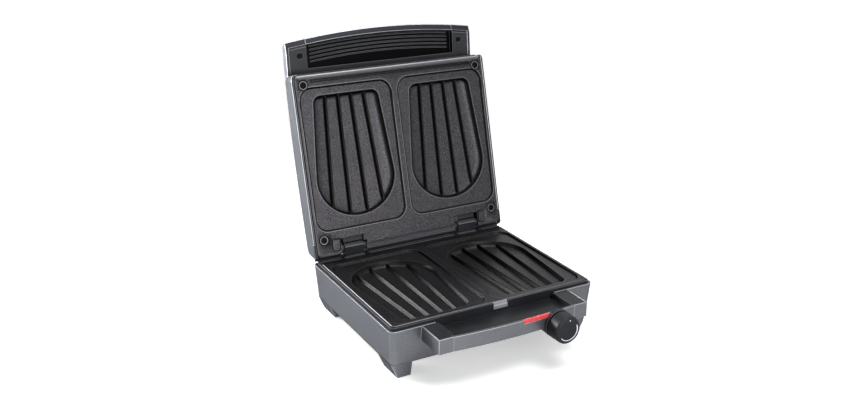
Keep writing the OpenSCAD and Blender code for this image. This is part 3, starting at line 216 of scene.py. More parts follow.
# Cast aluminium with sprayed PTFE non-stick: near black in itself, an even fine grain that glints softly.
# Real mica specks are 0.1 to 0.3 mm; they and the grain are drawn coarser so that they show.
def nonStick():
    look = {"dark": "#232224", "darkAt": 0.38, "light": "#403f42", "lightAt": 0.66, "grainMm": 0.9,
            "bump": 0.5, "bumpMm": 0.08, "mica": "#858388", "micaMm": 1.15, "micaFrom": 0.16, "micaTo": 0.34,
            "micaShare": 0.5, "roughness": 0.36, "smoother": 0.03, "rougher": 0.05, "metallic": 0.9,
            "ior": 1.38, "cloudMm": 45,
            "flankShade": "#100f0d", "flankShadeShare": 0.85,     # painted shade, darker on slopes and ribs
            "lip": "#8e8c90"}                           # painted highlight along the edges and lips
    material, tree, shader, where = startMaterial("castAluminiumNonStick", {
        "Metallic": look["metallic"], "IOR": look["ior"]})
    grain = add(tree, "ShaderNodeTexNoise", {"Scale": perMm(look["grainMm"]), "Detail": 3.0,
                                             "Roughness": 0.75}, {"Vector": where})
    stops = ((look["darkAt"], look["dark"]), (look["lightAt"], look["light"]))
    ground = add(tree, "ShaderNodeValToRGB", {"stops": stops}, {"Fac": grain.outputs["Fac"]})
    flakes = add(tree, "ShaderNodeTexVoronoi", {"Scale": perMm(look["micaMm"])}, {"Vector": where})
    spot = add(tree, "ShaderNodeMapRange",
               {"From Min": look["micaFrom"], "From Max": look["micaTo"], "To Min": look["micaShare"],
                "To Max": 0.0}, {"Value": flakes.outputs["Distance"]})
    mixed = add(tree, "ShaderNodeMix", {"data_type": "RGBA", 7: hexColour(look["mica"])},
                {"Factor": spot.outputs["Result"], 6: ground.outputs["Color"]})
    cloud = add(tree, "ShaderNodeTexNoise", {"Scale": perMm(look["cloudMm"]), "Detail": 2.0},
                {"Vector": where})
    sheen = add(tree, "ShaderNodeMapRange", {**noiseSpan, **spread(look["roughness"], look)},
                {"Value": cloud.outputs["Fac"]})
    # painted shade: slopes and ribs, marked steep, are drawn darker
    steep = add(tree, "ShaderNodeAttribute", {"attribute_name": "steep"})
    thick = add(tree, "ShaderNodeMath", {"operation": "MULTIPLY", 1: look["flankShadeShare"]},
                {0: steep.outputs["Fac"]})
    withFlankShade = add(tree, "ShaderNodeMix", {"data_type": "RGBA", 7: hexColour(look["flankShade"])},
                 {"Factor": thick.outputs[0], 6: mixed.outputs[2]})
    finishWith(tree, shader, grain.outputs["Fac"], look["bump"], look["bumpMm"],
               paintEdgeHighlight(tree, withFlankShade.outputs[2], look["lip"], 1.0), sheen.outputs["Result"])
    return material


# Metals inside and in the fixings, told apart by tint and roughness
def metal(name, dark, light, roughness, grainMm, stretch=(1, 1, 1)):
    look = {"darkAt": 0.3, "lightAt": 0.7, "smoother": 0.08, "rougher": 0.1, "bump": 0.15, "bumpMm": 0.05}
    material, tree, shader, where = startMaterial(name, {"Metallic": 1.0, "Roughness": roughness})
    run = add(tree, "ShaderNodeMapping", {"Scale": stretch}, {"Vector": where})
    streak = add(tree, "ShaderNodeTexNoise", {"Scale": perMm(grainMm), "Detail": 4.0},
                 {"Vector": run.outputs[0]})
    ramp = add(tree, "ShaderNodeValToRGB", {"stops": ((look["darkAt"], dark), (look["lightAt"], light))},
               {"Fac": streak.outputs["Fac"]})
    gloss = add(tree, "ShaderNodeMapRange", spread(roughness, look), {"Value": streak.outputs["Fac"]})
    finishWith(tree, shader, streak.outputs["Fac"], look["bump"], look["bumpMm"], ramp.outputs["Color"],
               gloss.outputs["Result"])
    return material


# Plastics, ceramics, rubber, glass and ink: plain bodies with a faint mottle
def plainBody(name, dark, light, roughness, grainMm, extra=None, detail=3.0, bump=0.2, bumpMm=0.08):
    material, tree, shader, where = startMaterial(name, {"Roughness": roughness, **(extra or {})})
    mottle = add(tree, "ShaderNodeTexNoise", {"Scale": perMm(grainMm), "Detail": detail},
                 {"Vector": where})
    ramp = add(tree, "ShaderNodeValToRGB", {"stops": ((0.0, dark), (1.0, light))},
               {"Fac": mottle.outputs["Fac"]})
    finishWith(tree, shader, mottle.outputs["Fac"], bump, bumpMm, ramp.outputs["Color"])
    return material


finishes = {
    "metallic_grey_shell": lacquer(),
    "black_plastic": grainedMoulding("grainedBlackNylon", "#1f2023", "#2a2b2f", 0.36, 1.0, 0.05),
    # phenolic: smoother than the frames, so its rim catches a thin light
    "knob_black": grainedMoulding("satinBlackPhenolic", "#1c1d21", "#26272c", 0.34, 0.7, 0.02),
    "nonstick_plate": nonStick(),
    # zinc plate: bright, bluish and slightly cloudy
    "zinc_steel": metal("zincPlatedSteel", "#a9adb3", "#cdd0d4", 0.35, 0.8),
    # blackened steel: nearly black and dull
    "dark_steel": metal("blackenedSteel", "#111112", "#1c1c1e", 0.5, 0.8),
    # sheath of a heating rod: browned and dulled by heat
    "element_sheath": metal("heatStainedSheath", "#5d5148", "#8d8276", 0.5, 4),
    # rolled sheet: bright, with faint streaks along the rolling
    "reflector_sheet": metal("rolledAluminiumSheet", "#b9bbbe", "#dcdee0", 0.3, 1.2, (0.08, 1, 1)),
    # the pale notch block: the grain of the black parts, a little duller
    "spout_grey": grainedMoulding("greyMouldedAbs", "#8c8e92", "#9a9ca0", 0.42, 1.0, 0.03, "#a8aaae"),
    # rubber: flat black
    "foot_rubber": plainBody("mouldedRubber", "#0c0c0d", "#161617", 0.8, 0.8),
    # tinted polycarbonate over the lamp: glossy, glows a little from inside
    "red_lens": plainBody("tintedPolycarbonateLens", "#d22f3a", "#ef5a60", 0.22, 9,
                          {"IOR": 1.58, "Transmission Weight": 0.25, "Emission Strength": 0.12,
                           "Emission Color": hexColour("#ff4a52")}, 2.0, 0.05, 0.1),
    # soda glass: clear and shiny, with a warm tint
    "lamp_glass": plainBody("clearLampGlass", "#f0d8c0", "#ffe9d8", 0.08, 6,
                            {"IOR": 1.5, "Transmission Weight": 0.8}),
    # steatite: off-white and chalky
    "thermostat_ceramic": plainBody("unglazedSteatite", "#cfc9bb", "#e2ddd2", 0.7, 1.2),
    # polyamide: cream, with a slight shine
    "terminal_cream": plainBody("mouldedPolyamide", "#dcd8c8", "#ece9dd", 0.5, 1.5),
}
# pad-printed white: slightly uneven over the grain, drawn coarser so that it shows
ink = plainBody("padPrintedInk", "#c4c8d0", "#e6e9ee", 0.5, 0.8, {"IOR": 1.48}, 2.0, 0.1, 0.02)
print("materials made:", len(finishes) + 1)

# the material and the moving body that each CAD node has
slotOf = {part["node"]: part["material_slot"] for part in frame["record"]["subparts"]}
bodyOf = {name: node["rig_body"] for name, node in frame["nodes"].items()}


def makeObject(name, vertices, faces, slotName, body, replaced=(), smoothDeg=32):
    mesh = bpy.data.meshes.new(name)
    mesh.from_pydata([tuple(v) for v in vertices], [], faces)
    made = bpy.data.objects.new(name, mesh)
    scene.collection.objects.link(made)
    dress(made, slotName, body, replaced, smoothDeg)
    return made


def dress(made, slotName, body, replaced=(), smoothDeg=32):
    mesh = made.data
    mesh.validate()
    mesh.update()
    mesh.materials.clear()
    mesh.materials.append(finishes[slotName] if slotName in finishes else ink)
    shadeSmooth(mesh, smoothDeg)
    level = made.modifiers.new("flatFaces", "WEIGHTED_NORMAL")  # keeps the flats flat beside rounded edges
    level.keep_sharp = True
    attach(made, body)
    if replaced:
        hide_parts(*replaced)


def shadeSmooth(mesh, degrees):
    bm = bmesh.new()
    bm.from_mesh(mesh)
    limit = math.radians(degrees)
    for face in bm.faces:
        face.smooth = True
    for edge in bm.edges:
        edge.smooth = len(edge.link_faces) == 2 and edge.calc_face_angle(0) < limit
    bm.to_mesh(mesh)
    bm.free()


moulded = {"segments": 2, "fromDeg": 35, "joinMm": 0.004, "sliverMm": 0.003, "flatDeg": 0.4}


# A CAD form with its faces joined up and its hard edges rounded, as a moulding has them
def roundedForm(nodeName, widthMm, hollow):
    source = frame["nodes"][nodeName]
    bm = bmesh.new()
    bm.from_mesh(source.data)
    bmesh.ops.remove_doubles(bm, verts=bm.verts, dist=moulded["joinMm"] * mm)
    bmesh.ops.dissolve_degenerate(bm, edges=bm.edges, dist=moulded["sliverMm"] * mm)
    bmesh.ops.dissolve_limit(bm, angle_limit=math.radians(moulded["flatDeg"]), verts=bm.verts, edges=bm.edges)
    edgeHighlightLayer, recessShadeLayer = (bm.faces.layers.float.new(mask) for mask in ("edge", "hollow"))
    limit = math.radians(moulded["fromDeg"])
    sharp = [e for e in bm.edges if len(e.link_faces) == 2 and e.calc_face_angle(0) > limit]
    rounded = bmesh.ops.bevel(bm, geom=sharp, offset=widthMm * mm, offset_type="OFFSET",
                              segments=moulded["segments"], profile=0.5, affect="EDGES",
                              clamp_overlap=False)["faces"]
    # painted highlight: the rounded faces are marked edge, to be drawn lighter
    for face in rounded:
        face[edgeHighlightLayer] = 1.0
    for face in bm.faces:
        face[recessShadeLayer] = 1.0 if hollow and hollow(face) and not face[edgeHighlightLayer] else 0.0
    low, high = (Vector([f(v.co[k] for v in source.data.vertices) for k in range(3)]) for f in (min, max))
    for vertex in bm.verts:  # a rounding never passes the form's own box
        vertex.co = [min(max(vertex.co[k], low[k]), high[k]) for k in range(3)]
    mesh = bpy.data.meshes.new(nodeName + "Form")
    bm.to_mesh(mesh)
    bm.free()
    made = bpy.data.objects.new(mesh.name, mesh)
    scene.collection.objects.link(made)
    dress(made, slotOf[nodeName], bodyOf[nodeName], [nodeName])


roundings = {  # radius of the moulded edges, in millimetres
    "base_shell": 0.55, "base_bezel": 0.35, "drip_spout": 0.3, "handle_tray": 0.3, "handle_bar": 0.4,
    "knob_collar": 0.3, "thermostat_housing": 0.3, "hinge_towers": 0.7, "bottom_cover": 0.3,
    "lid_shell": 0.5, "lid_bezel": 0.3, "lid_handle_insert": 0.35, "lid_handle_trim": 0.7,
    "lid_hinge_ears": 0.5, "foot_pads": 0.2, "cord_inlet": 0.3, "indicator_lens": 0.18,
}
gripHalfMm = 100.6  # the ribbed recess of the handle lies within this of the middle
# painted shade: the faces of that recess are marked hollow and drawn near black
inShadedRecess = {"lid_handle_insert": lambda face: max(abs(v.co.x) for v in face.verts) < gripHalfMm * mm}
for nodeName, width in roundings.items():
    roundedForm(nodeName, width, inShadedRecess.get(nodeName))
print("rounded forms made:", len(roundings))


# Outlines in plan are closed rings of points in millimetres, counter-clockwise
def arcPoints(cx, cy, r, fromDeg, toDeg, steps):
    return [(cx + r * math.cos(t), cy + r * math.sin(t))
            for t in np.radians(np.linspace(fromDeg, toDeg, steps + 1))]


def roundedRing(x0, x1, y0, y1, r, steps=8):
    return (arcPoints(x1 - r, y0 + r, r, -90, 0, steps) + arcPoints(x1 - r, y1 - r, r, 0, 90, steps)
            + arcPoints(x0 + r, y1 - r, r, 90, 180, steps) + arcPoints(x0 + r, y0 + r, r, 180, 270, steps))


# long sides split into even steps
def evenRing(ring, stepMm):
    points = np.asarray(ring, float)
    out = []
    for a, b in zip(points, np.roll(points, -1, axis=0)):
        count = max(1, int(round(np.linalg.norm(b - a) / stepMm)))
        out += [a + (b - a) * i / count for i in range(count)]
    return np.array(out)


def insetRing(ring, inset):
    points = np.asarray(ring, float)
    before = points - np.roll(points, 1, axis=0)
    after = np.roll(points, -1, axis=0) - points
    inward = [np.column_stack([-run[:, 1], run[:, 0]]) / np.linalg.norm(run, axis=1)[:, None]
              for run in (before, after)]
    both = inward[0] + inward[1]
    return points + inset * both / (1 + (inward[0] * inward[1]).sum(axis=1))[:, None]


# how far each point lies inside a ring, negative outside it
def insideDistance(points, ring):
    a = np.asarray(ring, float)
    run = np.roll(a, -1, axis=0) - a
    p = np.asarray(points, float)[:, None, :]
    share = np.clip(((p - a) * run).sum(axis=2) / (run ** 2).sum(axis=1), 0, 1)
    gap = np.sqrt(((p - a - share[..., None] * run) ** 2).sum(axis=2)).min(axis=1)
    straddles = (a[:, 1] > p[..., 1]) != (a[:, 1] + run[:, 1] > p[..., 1])
    rise = np.where(run[:, 1] == 0, 1, run[:, 1])
    left = p[..., 0] < a[:, 0] + run[:, 0] * (p[..., 1] - a[:, 1]) / rise
    return np.where((straddles & left).sum(axis=1) % 2 == 1, gap, -gap)


def softStep(t):
    t = np.clip(t, 0, 1)
    return t * t * (3 - 2 * t)


# a straight slope with rounded ends
def rampStep(t, share):
    t = np.clip(t, 0, 1)
    rise = 1 / (1 - share)
    low = rise * t * t / (2 * share)
    high = 1 - rise * (1 - t) ** 2 / (2 * share)
    return np.where(t < share, low, np.where(t > 1 - share, high, rise * (t - share / 2)))


def softMin(a, b, blend):
    h = np.clip(1 - np.abs(a - b) / blend, 0, 1)
    return np.minimum(a, b) - h * h * blend / 4


def softMax(a, b, blend):
    return -softMin(-a, -b, blend)


# Baking plates: one sheet over the outline, with its points along every edge of the casting.
# Insets say how far inside an edge a ring of points runs, negative outside it.
pocket = {"x": 64.0, "wideHalf": 52.0, "endHalf": 43.5, "frontY": 16.0, "wideY": 118.0, "backY": 165.0,
          "cornerR": 10.0, "depth": 9.0, "wallRun": 1.9, "lip": 0.6, "reach": 6, "cornerSteps": 9,
          "curvePoints": 49, "step": 3.0,
          "insets": (-0.85, -0.4, 0.0, 0.35, 0.65, 1.0, 1.5, 2.1, 3.0, 4.3, 6.2, 9.0)}
ribs = {"count": 4, "frontPitch": 16.7, "backPitch": 23.0, "footHalf": 3.1, "crestR": 0.9, "crestDeg": 20,
        "crestDown": 4.8, "blend": 0.5, "footDown": 10.0, "floorBow": 1.5,
        "crestLines": (0.4, 0.8, 1.1), "footLines": (-1.1, -0.5, -0.1, 0.3), "lineInset": 0.6,
        "before": 4, "frontEnd": 12, "backEnd": 24, "past": 6, "endStep": 1.6, "midStep": 9}
loopStep = {"depth": 2.4, "run": 2.4, "r": 16.0, "roundShare": 0.18, "step": 12, "cornerSteps": 10,
            "insets": (-0.85, -0.4, 0.0, 0.22, 0.43, 1.95, 2.2, 2.45)}
skin = {"plate": 4.0, "pocket": 2.2, "edgeR": 0.8, "joinMm": 0.0005, "backRun": 3.0,
        "backInsets": (-2.2, -0.8, 1.0, 3.5, 8.0), "backStep": 8, "smoothDeg": 40}
# how bright the painted highlights on the lips are, how wide, and how far outside their edge
paintedLipHighlight = {"width": 0.45, "out": 0.4, "outline": 0.55, "outlineW": 0.9, "loop": 0.5, "pocket": 0.35,
          "boss": 0.5, "front": 0.9}
# painted shade on the plates' slopes and ribs: how steep is shaded, and how far round each rib
flankShade = {"reach": 0.2, "mild": 0.35, "sharp": 1.0, "past": 0.2, "blend": 0.5, "inset": 0.4, "crest": 0.82}


def pocketRing():
    run = pocket["wideY"] - pocket["frontY"] - pocket["cornerR"]
    lean = math.degrees(math.atan((pocket["wideHalf"] - pocket["endHalf"]) / run))
    a, b = pocket["wideHalf"], pocket["backY"] - pocket["wideY"]
    start = -math.atan(math.tan(math.radians(lean)) * b / a)
    cx, cy, r = pocket["endHalf"] - pocket["cornerR"], pocket["frontY"] + pocket["cornerR"], pocket["cornerR"]
    turns = np.linspace(start, math.pi - start, pocket["curvePoints"])
    return (arcPoints(cx, cy, r, -90, -lean, pocket["cornerSteps"])
            + [(a * math.cos(t), pocket["wideY"] + b * math.sin(t)) for t in turns]
            + arcPoints(-cx, cy, r, 180 + lean, 270, pocket["cornerSteps"]))


# each rib's place from the middle, in steps of the pitch, and its lean
def ribLeans():
    run = pocket["backY"] - pocket["frontY"]
    steps = [i - (ribs["count"] - 1) / 2 for i in range(ribs["count"])]
    return [(k, math.atan(k * (ribs["backPitch"] - ribs["frontPitch"]) / run)) for k in steps]


# distance of each point from the line of each rib
def ribOffsets(local):
    return np.array([(local[:, 0] - k * ribs["frontPitch"]) * math.cos(lean)
                     - (local[:, 1] - pocket["frontY"]) * math.sin(lean) for k, lean in ribLeans()])


def ribLines(ring):
    run = pocket["backY"] - pocket["frontY"]
    along = np.concatenate([np.arange(-ribs["before"], ribs["frontEnd"], ribs["endStep"]),
                            np.arange(ribs["frontEnd"], run - ribs["backEnd"], ribs["midStep"]),
                            np.arange(run - ribs["backEnd"], run + ribs["past"], ribs["endStep"])])
    half = ([ribs["crestR"] * k for k in ribs["crestLines"]]
            + [ribs["footHalf"] + k for k in ribs["footLines"]])
    lines = []
    for k, lean in ribLeans():
        for off in [-d for d in reversed(half)] + [0.0] + half:
            x = k * ribs["frontPitch"] + along * math.sin(lean) + off * math.cos(lean)
            y = pocket["frontY"] + along * math.cos(lean) - off * math.sin(lean)
            points = np.column_stack([x, y])
            lines.append(points[insideDistance(points, ring) > ribs["lineInset"]])
    return lines


def pocketHeight(points, level):
    out = level.copy()
    ring = pocketRing()
    crestZ = -ribs["crestDown"] - ribs["crestR"]
    edge = ribs["crestR"] * math.cos(math.radians(ribs["crestDeg"]))
    edgeZ = crestZ + ribs["crestR"] * math.sin(math.radians(ribs["crestDeg"]))
    slope = (edgeZ + ribs["footDown"]) / (ribs["footHalf"] - edge)
    for side in (-1, 1):
        local = points * [side, 1] - [pocket["x"], 0]
        near = np.abs(local[:, 0]) < pocket["wideHalf"] + pocket["reach"]
        inside = insideDistance(local[near], ring)
        deep = pocket["depth"] - ribs["floorBow"] * (local[near, 0] / pocket["wideHalf"]) ** 2
        dish = np.where(inside > 0, -deep * (1 - np.exp(-inside / pocket["wallRun"])),
                        -inside * pocket["depth"] / pocket["wallRun"])
        off = np.abs(ribOffsets(local[near])).min(axis=0)
        roundTop = crestZ + np.sqrt(np.maximum(ribs["crestR"] ** 2 - off ** 2, 0))
        rib = np.where(off < edge, roundTop, edgeZ - (off - edge) * slope)
        floor = softMax(dish, rib, ribs["blend"])
        out[near] = softMin(level[near], floor, pocket["lip"])
    return out


def plateSheet(outline, rings, lines):
    points, edges = [], []
    for ring in [outline] + rings:
        first = len(points)
        points += [tuple(p) for p in ring]
        edges += [(first + i, first + (i + 1) % len(ring)) for i in range(len(ring))]
    for line in lines:
        first = len(points)
        points += [tuple(p) for p in line]
        edges += [(first + i, first + i + 1) for i in range(len(line) - 1)]
    made = delaunay_2d_cdt([Vector(p) for p in points], edges, [], 1, skin["joinMm"])
    return np.array([tuple(v) for v in made[0]]), [tuple(f) for f in made[2]]


# the cooking face and the back, joined round the outline
def plateSolid(name, outline, pattern, heightOf, lipHighlightOf, faceZ, upward, toRow, replaced, body):
    front, frontFaces = plateSheet(outline, *pattern)
    rear, rearFaces = plateSheet(outline, pocketRings(skin["backInsets"], skin["backStep"]), [])
    z = np.concatenate([heightOf(front), -skin["plate"] - pocketBack(rear)])
    shift = len(front)
    faces = frontFaces + [tuple(shift + i for i in reversed(f)) for f in rearFaces]
    rearAt = {(round(p[0], 2), round(p[1], 2)): shift + i for i, p in enumerate(rear)}
    ways = dict.fromkeys((a, b) for face in frontFaces for a, b in zip(face, face[1:] + face[:1]))
    for a, b in ways:
        if (b, a) not in ways:  # an outer edge of the sheet
            ends = [rearAt.get((round(front[i][0], 2), round(front[i][1], 2))) for i in (a, b)]
            if None not in ends:
                faces.append((b, a, ends[0], ends[1]))
    points = np.column_stack([np.concatenate([front, rear]), faceZ + (z if upward else -z)])
    made = makeObject(name, toRow(points), faces, "nonstick_plate", body, replaced, skin["smoothDeg"])
    blank = np.zeros(len(rear))
    # painted shade on the slopes and a painted highlight on the lips, stored on the face points
    for mask, values in (("steep", steepness(front, heightOf)), ("edge", lipHighlightOf(front))):
        layer = made.data.attributes.new(mask, "FLOAT", "POINT")
        layer.data.foreach_set("value", np.concatenate([values, blank]).astype(np.float32))


# 1 on the lip just outside an edge, where a highlight is painted
def beside(gap):
    return np.clip(1 - np.abs(gap + paintedLipHighlight["out"]) / paintedLipHighlight["width"], 0, 1)


# painted highlight just outside the outline, the loops and the pockets
def plateLipHighlights(points, outline, loopRing):
    value = paintedLipHighlight["outline"] * np.clip(1 - insideDistance(points, outline) / paintedLipHighlight["outlineW"], 0, 1)
    for side in (-1, 1):
        mirrored = points * [side, 1]
        value = np.maximum(value, paintedLipHighlight["loop"] * beside(insideDistance(mirrored, loopRing)))
        toPocket = insideDistance(mirrored - [pocket["x"], 0], pocketRing())
        value = np.maximum(value, paintedLipHighlight["pocket"] * beside(toPocket))
    return value


# 0 on flats, 1 on flanks and on the ribs, where shade is painted
def steepness(points, heightOf):
    reach = flankShade["reach"]
    run = [(heightOf(points + step) - heightOf(points - step)) / (2 * reach)
           for step in ([reach, 0], [0, reach])]
    slope = np.hypot(run[0], run[1])
    steep = softStep((slope - flankShade["mild"]) / (flankShade["sharp"] - flankShade["mild"]))
    ring = pocketRing()
    for side in (-1, 1):
        local = points * [side, 1] - [pocket["x"], 0]
        off = np.abs(ribOffsets(local)).min(axis=0)
        onRib = np.clip((ribs["footHalf"] + flankShade["past"] - off) / flankShade["blend"], 0, 1)
        onRib = onRib * (insideDistance(local, ring) > flankShade["inset"])
        steep = np.maximum(steep, onRib * np.where(off < ribs["crestR"], flankShade["crest"], 1.0))
    return steep


def pocketBack(points):
    out = np.zeros(len(points))
    for side in (-1, 1):
        local = points * [side, 1] - [pocket["x"], 0]
        inside = insideDistance(local, pocketRing()) + skin["pocket"]
        deep = pocket["depth"] + skin["pocket"] - skin["plate"]
        out = np.maximum(out, deep * np.where(inside > 0, 1 - np.exp(-inside / skin["backRun"]), 0))
    return out


def pocketRings(insets, stepMm):
    made = []
    for side in (-1, 1):
        for inset in insets:
            ring = insetRing(evenRing(pocketRing(), stepMm), inset)
            made.append((ring + [pocket["x"], 0]) * [side, 1])
    return made


def platePattern(outline, loopRing, extra):
    rings = pocketRings(pocket["insets"], pocket["step"])
    rings += [insetRing(outline, d) for d in (0.12, 0.4, skin["edgeR"] + 0.1, 2.0)]
    for inset in loopStep["insets"]:
        ring = insetRing(evenRing(loopRing, loopStep["step"]), inset)
        rings += [ring, ring * [-1, 1]]
    lines = []
    for side in (-1, 1):
        lines += [(line + [pocket["x"], 0]) * [side, 1] for line in ribLines(pocketRing())]
    return rings + extra, lines


def plateLevel(points, outline, loopRing):
    rim = np.clip(1 - insideDistance(points, outline) / skin["edgeR"], 0, 1)
    level = -skin["edgeR"] * (1 - np.sqrt(1 - rim ** 2))
    inLoop = np.maximum(insideDistance(points, loopRing), insideDistance(points * [-1, 1], loopRing))
    return level - loopStep["depth"] * rampStep(inLoop / loopStep["run"], loopStep["roundShare"])


lower = {"halfW": 125.65, "frontY": 5.55, "backY": 190.0, "cornerR": 5.0, "loop": (3.7, 123.45, 7.75, 178.0)}
lowerOutline = evenRing(roundedRing(-lower["halfW"], lower["halfW"], lower["frontY"], lower["backY"],
                                    lower["cornerR"]), loopStep["step"])
lowerLoop = roundedRing(*lower["loop"], loopStep["r"], loopStep["cornerSteps"])
plateSolid("lowerPlateCasting", lowerOutline, platePattern(lowerOutline, lowerLoop, []),
           lambda p: pocketHeight(p, plateLevel(p, lowerOutline, lowerLoop)),
           lambda p: plateLipHighlights(p, lowerOutline, lowerLoop),
           place["plateZ"], True, baseToRow, ["lower_plate"], "base")

upper = {
    "halfW": 127.4, "frontY": -9.5, "backY": 207.0, "midBackY": 200.0, "cornerR": 6.0,
    "notch": (62.3, 96.2, 188.9), "loop": (3.7, 124.6, 5.5, 178.0), "rollDeep": 2.0, "rollRun": 5.0,
    "screwX": 117.6, "screwY": (2.5, 187.0), "bossR": 5.0, "bossUp": 0.3, "bossRun": 0.4,
    "holeR": 3.9, "holeDeep": 3.0, "holeInsets": (0.35, 0.1, -0.05), "seatW": 0.2, "seatDown": 0.25,
    "moatW": 1.3, "moatDeep": 1.1,
    "groove": (-109.6, 109.6, -3.0, 0.0), "grooveR": 1.4, "grooveDeep": 1.9, "grooveEarly": 0.05,
    "grooveRun": 0.8, "grooveInsets": (-0.05, 0.35, 0.75),
    "pad": (97.7, 107.2, 188.9, 202.0), "padR": 0.8, "padUp": 0.3, "padRun": 0.45, "padStep": 6,
}


def upperOutlineRing():
    w, r, front, rear = upper["halfW"], upper["cornerR"], upper["frontY"], upper["backY"]
    x0, x1, notchY = upper["notch"]
    rightSide = [(x1, rear), (x1, notchY), (x0, notchY), (x0, upper["midBackY"])]
    return (arcPoints(w - r, front + r, r, -90, 0, 8) + arcPoints(w - r, rear - r, r, 0, 90, 8)
            + rightSide + [(-x, y) for x, y in reversed(rightSide)]
            + arcPoints(-w + r, rear - r, r, 90, 180, 8) + arcPoints(-w + r, front + r, r, 180, 270, 8))


def circleRing(cx, cy, r, steps=28):
    return np.array(arcPoints(cx, cy, r, 0, 360 - 360 / steps, steps - 1))


upperOutline = evenRing(upperOutlineRing(), loopStep["step"])
upperLoop = roundedRing(*upper["loop"], loopStep["r"], loopStep["cornerSteps"])
grooveRing = roundedRing(*upper["groove"], upper["grooveR"], 5)
extra = [insetRing(evenRing(grooveRing, loopStep["step"]), d) for d in upper["grooveInsets"]]
padRing = roundedRing(*upper["pad"], upper["padR"], 3)
bossRings = [upper["bossR"] + upper["moatW"], upper["bossR"] + upper["moatW"] / 2, upper["bossR"]]
bossRings += [upper["holeR"] + d for d in upper["holeInsets"]]
for side in (-1, 1):
    extra += [insetRing(evenRing(padRing, upper["padStep"]), d) * [side, 1]
              for d in (-upper["moatW"] / 2, 0.0, upper["padRun"])]
    for y in upper["screwY"]:
        extra += [circleRing(side * upper["screwX"], y, r) for r in bossRings]


def screwGap(points):
    return np.min([np.hypot(np.abs(points[:, 0]) - upper["screwX"], points[:, 1] - y)
                   for y in upper["screwY"]], axis=0)


# 1 at the front edge, falling to 0 where the rolled front meets the flat
def frontRoll(points):
    return np.clip(1 - (points[:, 1] - upper["frontY"]) / upper["rollRun"], 0, 1)


def upperHeight(points):
    level = plateLevel(points, upperOutline, upperLoop)
    level -= upper["rollDeep"] * frontRoll(points) ** 2
    inGroove = (insideDistance(points, grooveRing) + upper["grooveEarly"]) / upper["grooveRun"]
    level -= upper["grooveDeep"] * softStep(inGroove)
    onPad = np.maximum(insideDistance(points, padRing), insideDistance(points * [-1, 1], padRing))
    level += upper["padUp"] * softStep(onPad / upper["padRun"])
    toScrew = screwGap(points)
    onBoss = softStep((upper["bossR"] + upper["bossRun"] - toScrew) / upper["bossRun"])
    level = level * (1 - onBoss) + upper["bossUp"] * onBoss
    for out in (toScrew - upper["bossR"], -onPad):  # the moat round each boss and pad
        level -= upper["moatDeep"] * np.clip(1 - np.abs(out / upper["moatW"] * 2 - 1), 0, 1)
    level = np.where(toScrew < upper["holeR"] + upper["seatW"], level - upper["seatDown"], level)
    level = np.where(toScrew < upper["holeR"], -upper["holeDeep"], level)
    return pocketHeight(points, level)


# painted highlights on the lips, the boss tops and the rolled front edge
def upperLipHighlights(points):
    toScrew = screwGap(points)
    onBoss = (toScrew > upper["holeR"] + upper["seatW"]) & (toScrew < upper["bossR"] + upper["seatW"])
    onFront = softStep(frontRoll(points) * 1.7 - 0.6)
    return np.maximum.reduce([plateLipHighlights(points, upperOutline, upperLoop), paintedLipHighlight["boss"] * onBoss,
                              paintedLipHighlight["front"] * onFront])


plateSolid("upperPlateCasting", upperOutline, platePattern(upperOutline, upperLoop, extra), upperHeight,
           upperLipHighlights, place["upperZ"], False, lidToRow, ["upper_plate"], "lid")
print("baking plates made")


# Pieces of one section along x: section points are (y, z), and side -1 mirrors the span
def extrusion(name, section, span, side, slotName, body, toRow, roundMm=0.0, shiny=None):
    look = {"smoothDeg": 40, "roundFromDeg": 60, "roundSegments": 3}
    n = len(section)
    points = [(x, y, z) for x in sorted(side * x for x in span) for y, z in section]
    faces = [tuple(range(n)), tuple(range(2 * n - 1, n - 1, -1))]
    faces += [(i, n + i, n + (i + 1) % n, (i + 1) % n) for i in range(n)]
    made = makeObject(name, toRow(points), faces, slotName, body, (), look["smoothDeg"])
    bm = bmesh.new()
    bm.from_mesh(made.data)
    bmesh.ops.recalc_face_normals(bm, faces=bm.faces)
    if roundMm:
        ends = [e for e in bm.edges if e.calc_face_angle(0) > math.radians(look["roundFromDeg"])]
        bmesh.ops.bevel(bm, geom=ends, offset=roundMm * mm, offset_type="OFFSET",
                        segments=look["roundSegments"], profile=0.5, affect="EDGES", clamp_overlap=True)
    # painted highlight: faces picked by shiny are marked edge, to be drawn lighter
    edgeHighlightLayer = bm.faces.layers.float.new("edge")
    for face in bm.faces:
        face[edgeHighlightLayer] = 1.0 if shiny and shiny(face.calc_center_median() / mm) else 0.0
    bm.to_mesh(made.data)
    bm.free()
    shadeSmooth(made.data, look["smoothDeg"])


towerHead = {"x": (66.4, 92.1), "frontY": 194.9, "footZ": 61.7, "edgeZ": 74.6, "edgeR": 1.3, "round": 0.45,
             "top": [(198.2, 77.8), (200.3, 78.7), (203.3, 78.3), (206.0, 75.5), (205.5, 70.0),
                     (203.5, 61.7)],
             "shineUp": 0.6, "shineHalf": 0.9, "shineBackY": 196.5}
rearSkirt = {"top": 69.22, "low": 66.5, "y": (207.75, 210.85), "midX": 62.0, "outX": (96.5, 127.6),
             "sideX": (127.75, 130.75), "sideFrontY": 191.3, "sideZ": 64.9}


def towerSection():
    t = towerHead
    edge = [(t["frontY"] + t["edgeR"] * (1 - math.cos(a)), t["edgeZ"] + t["edgeR"] * math.sin(a))
            for a in np.radians((0, 20, 40, 60))]
    return [(t["frontY"], t["footZ"])] + edge + t["top"]


# painted highlight: a band just above the rounded front edge of each hinge block
def onTowerHighlight(at):
    t = towerHead
    return abs(at.z - t["edgeZ"] - t["shineUp"]) < t["shineHalf"] and at.y + place["midY"] < t["shineBackY"]


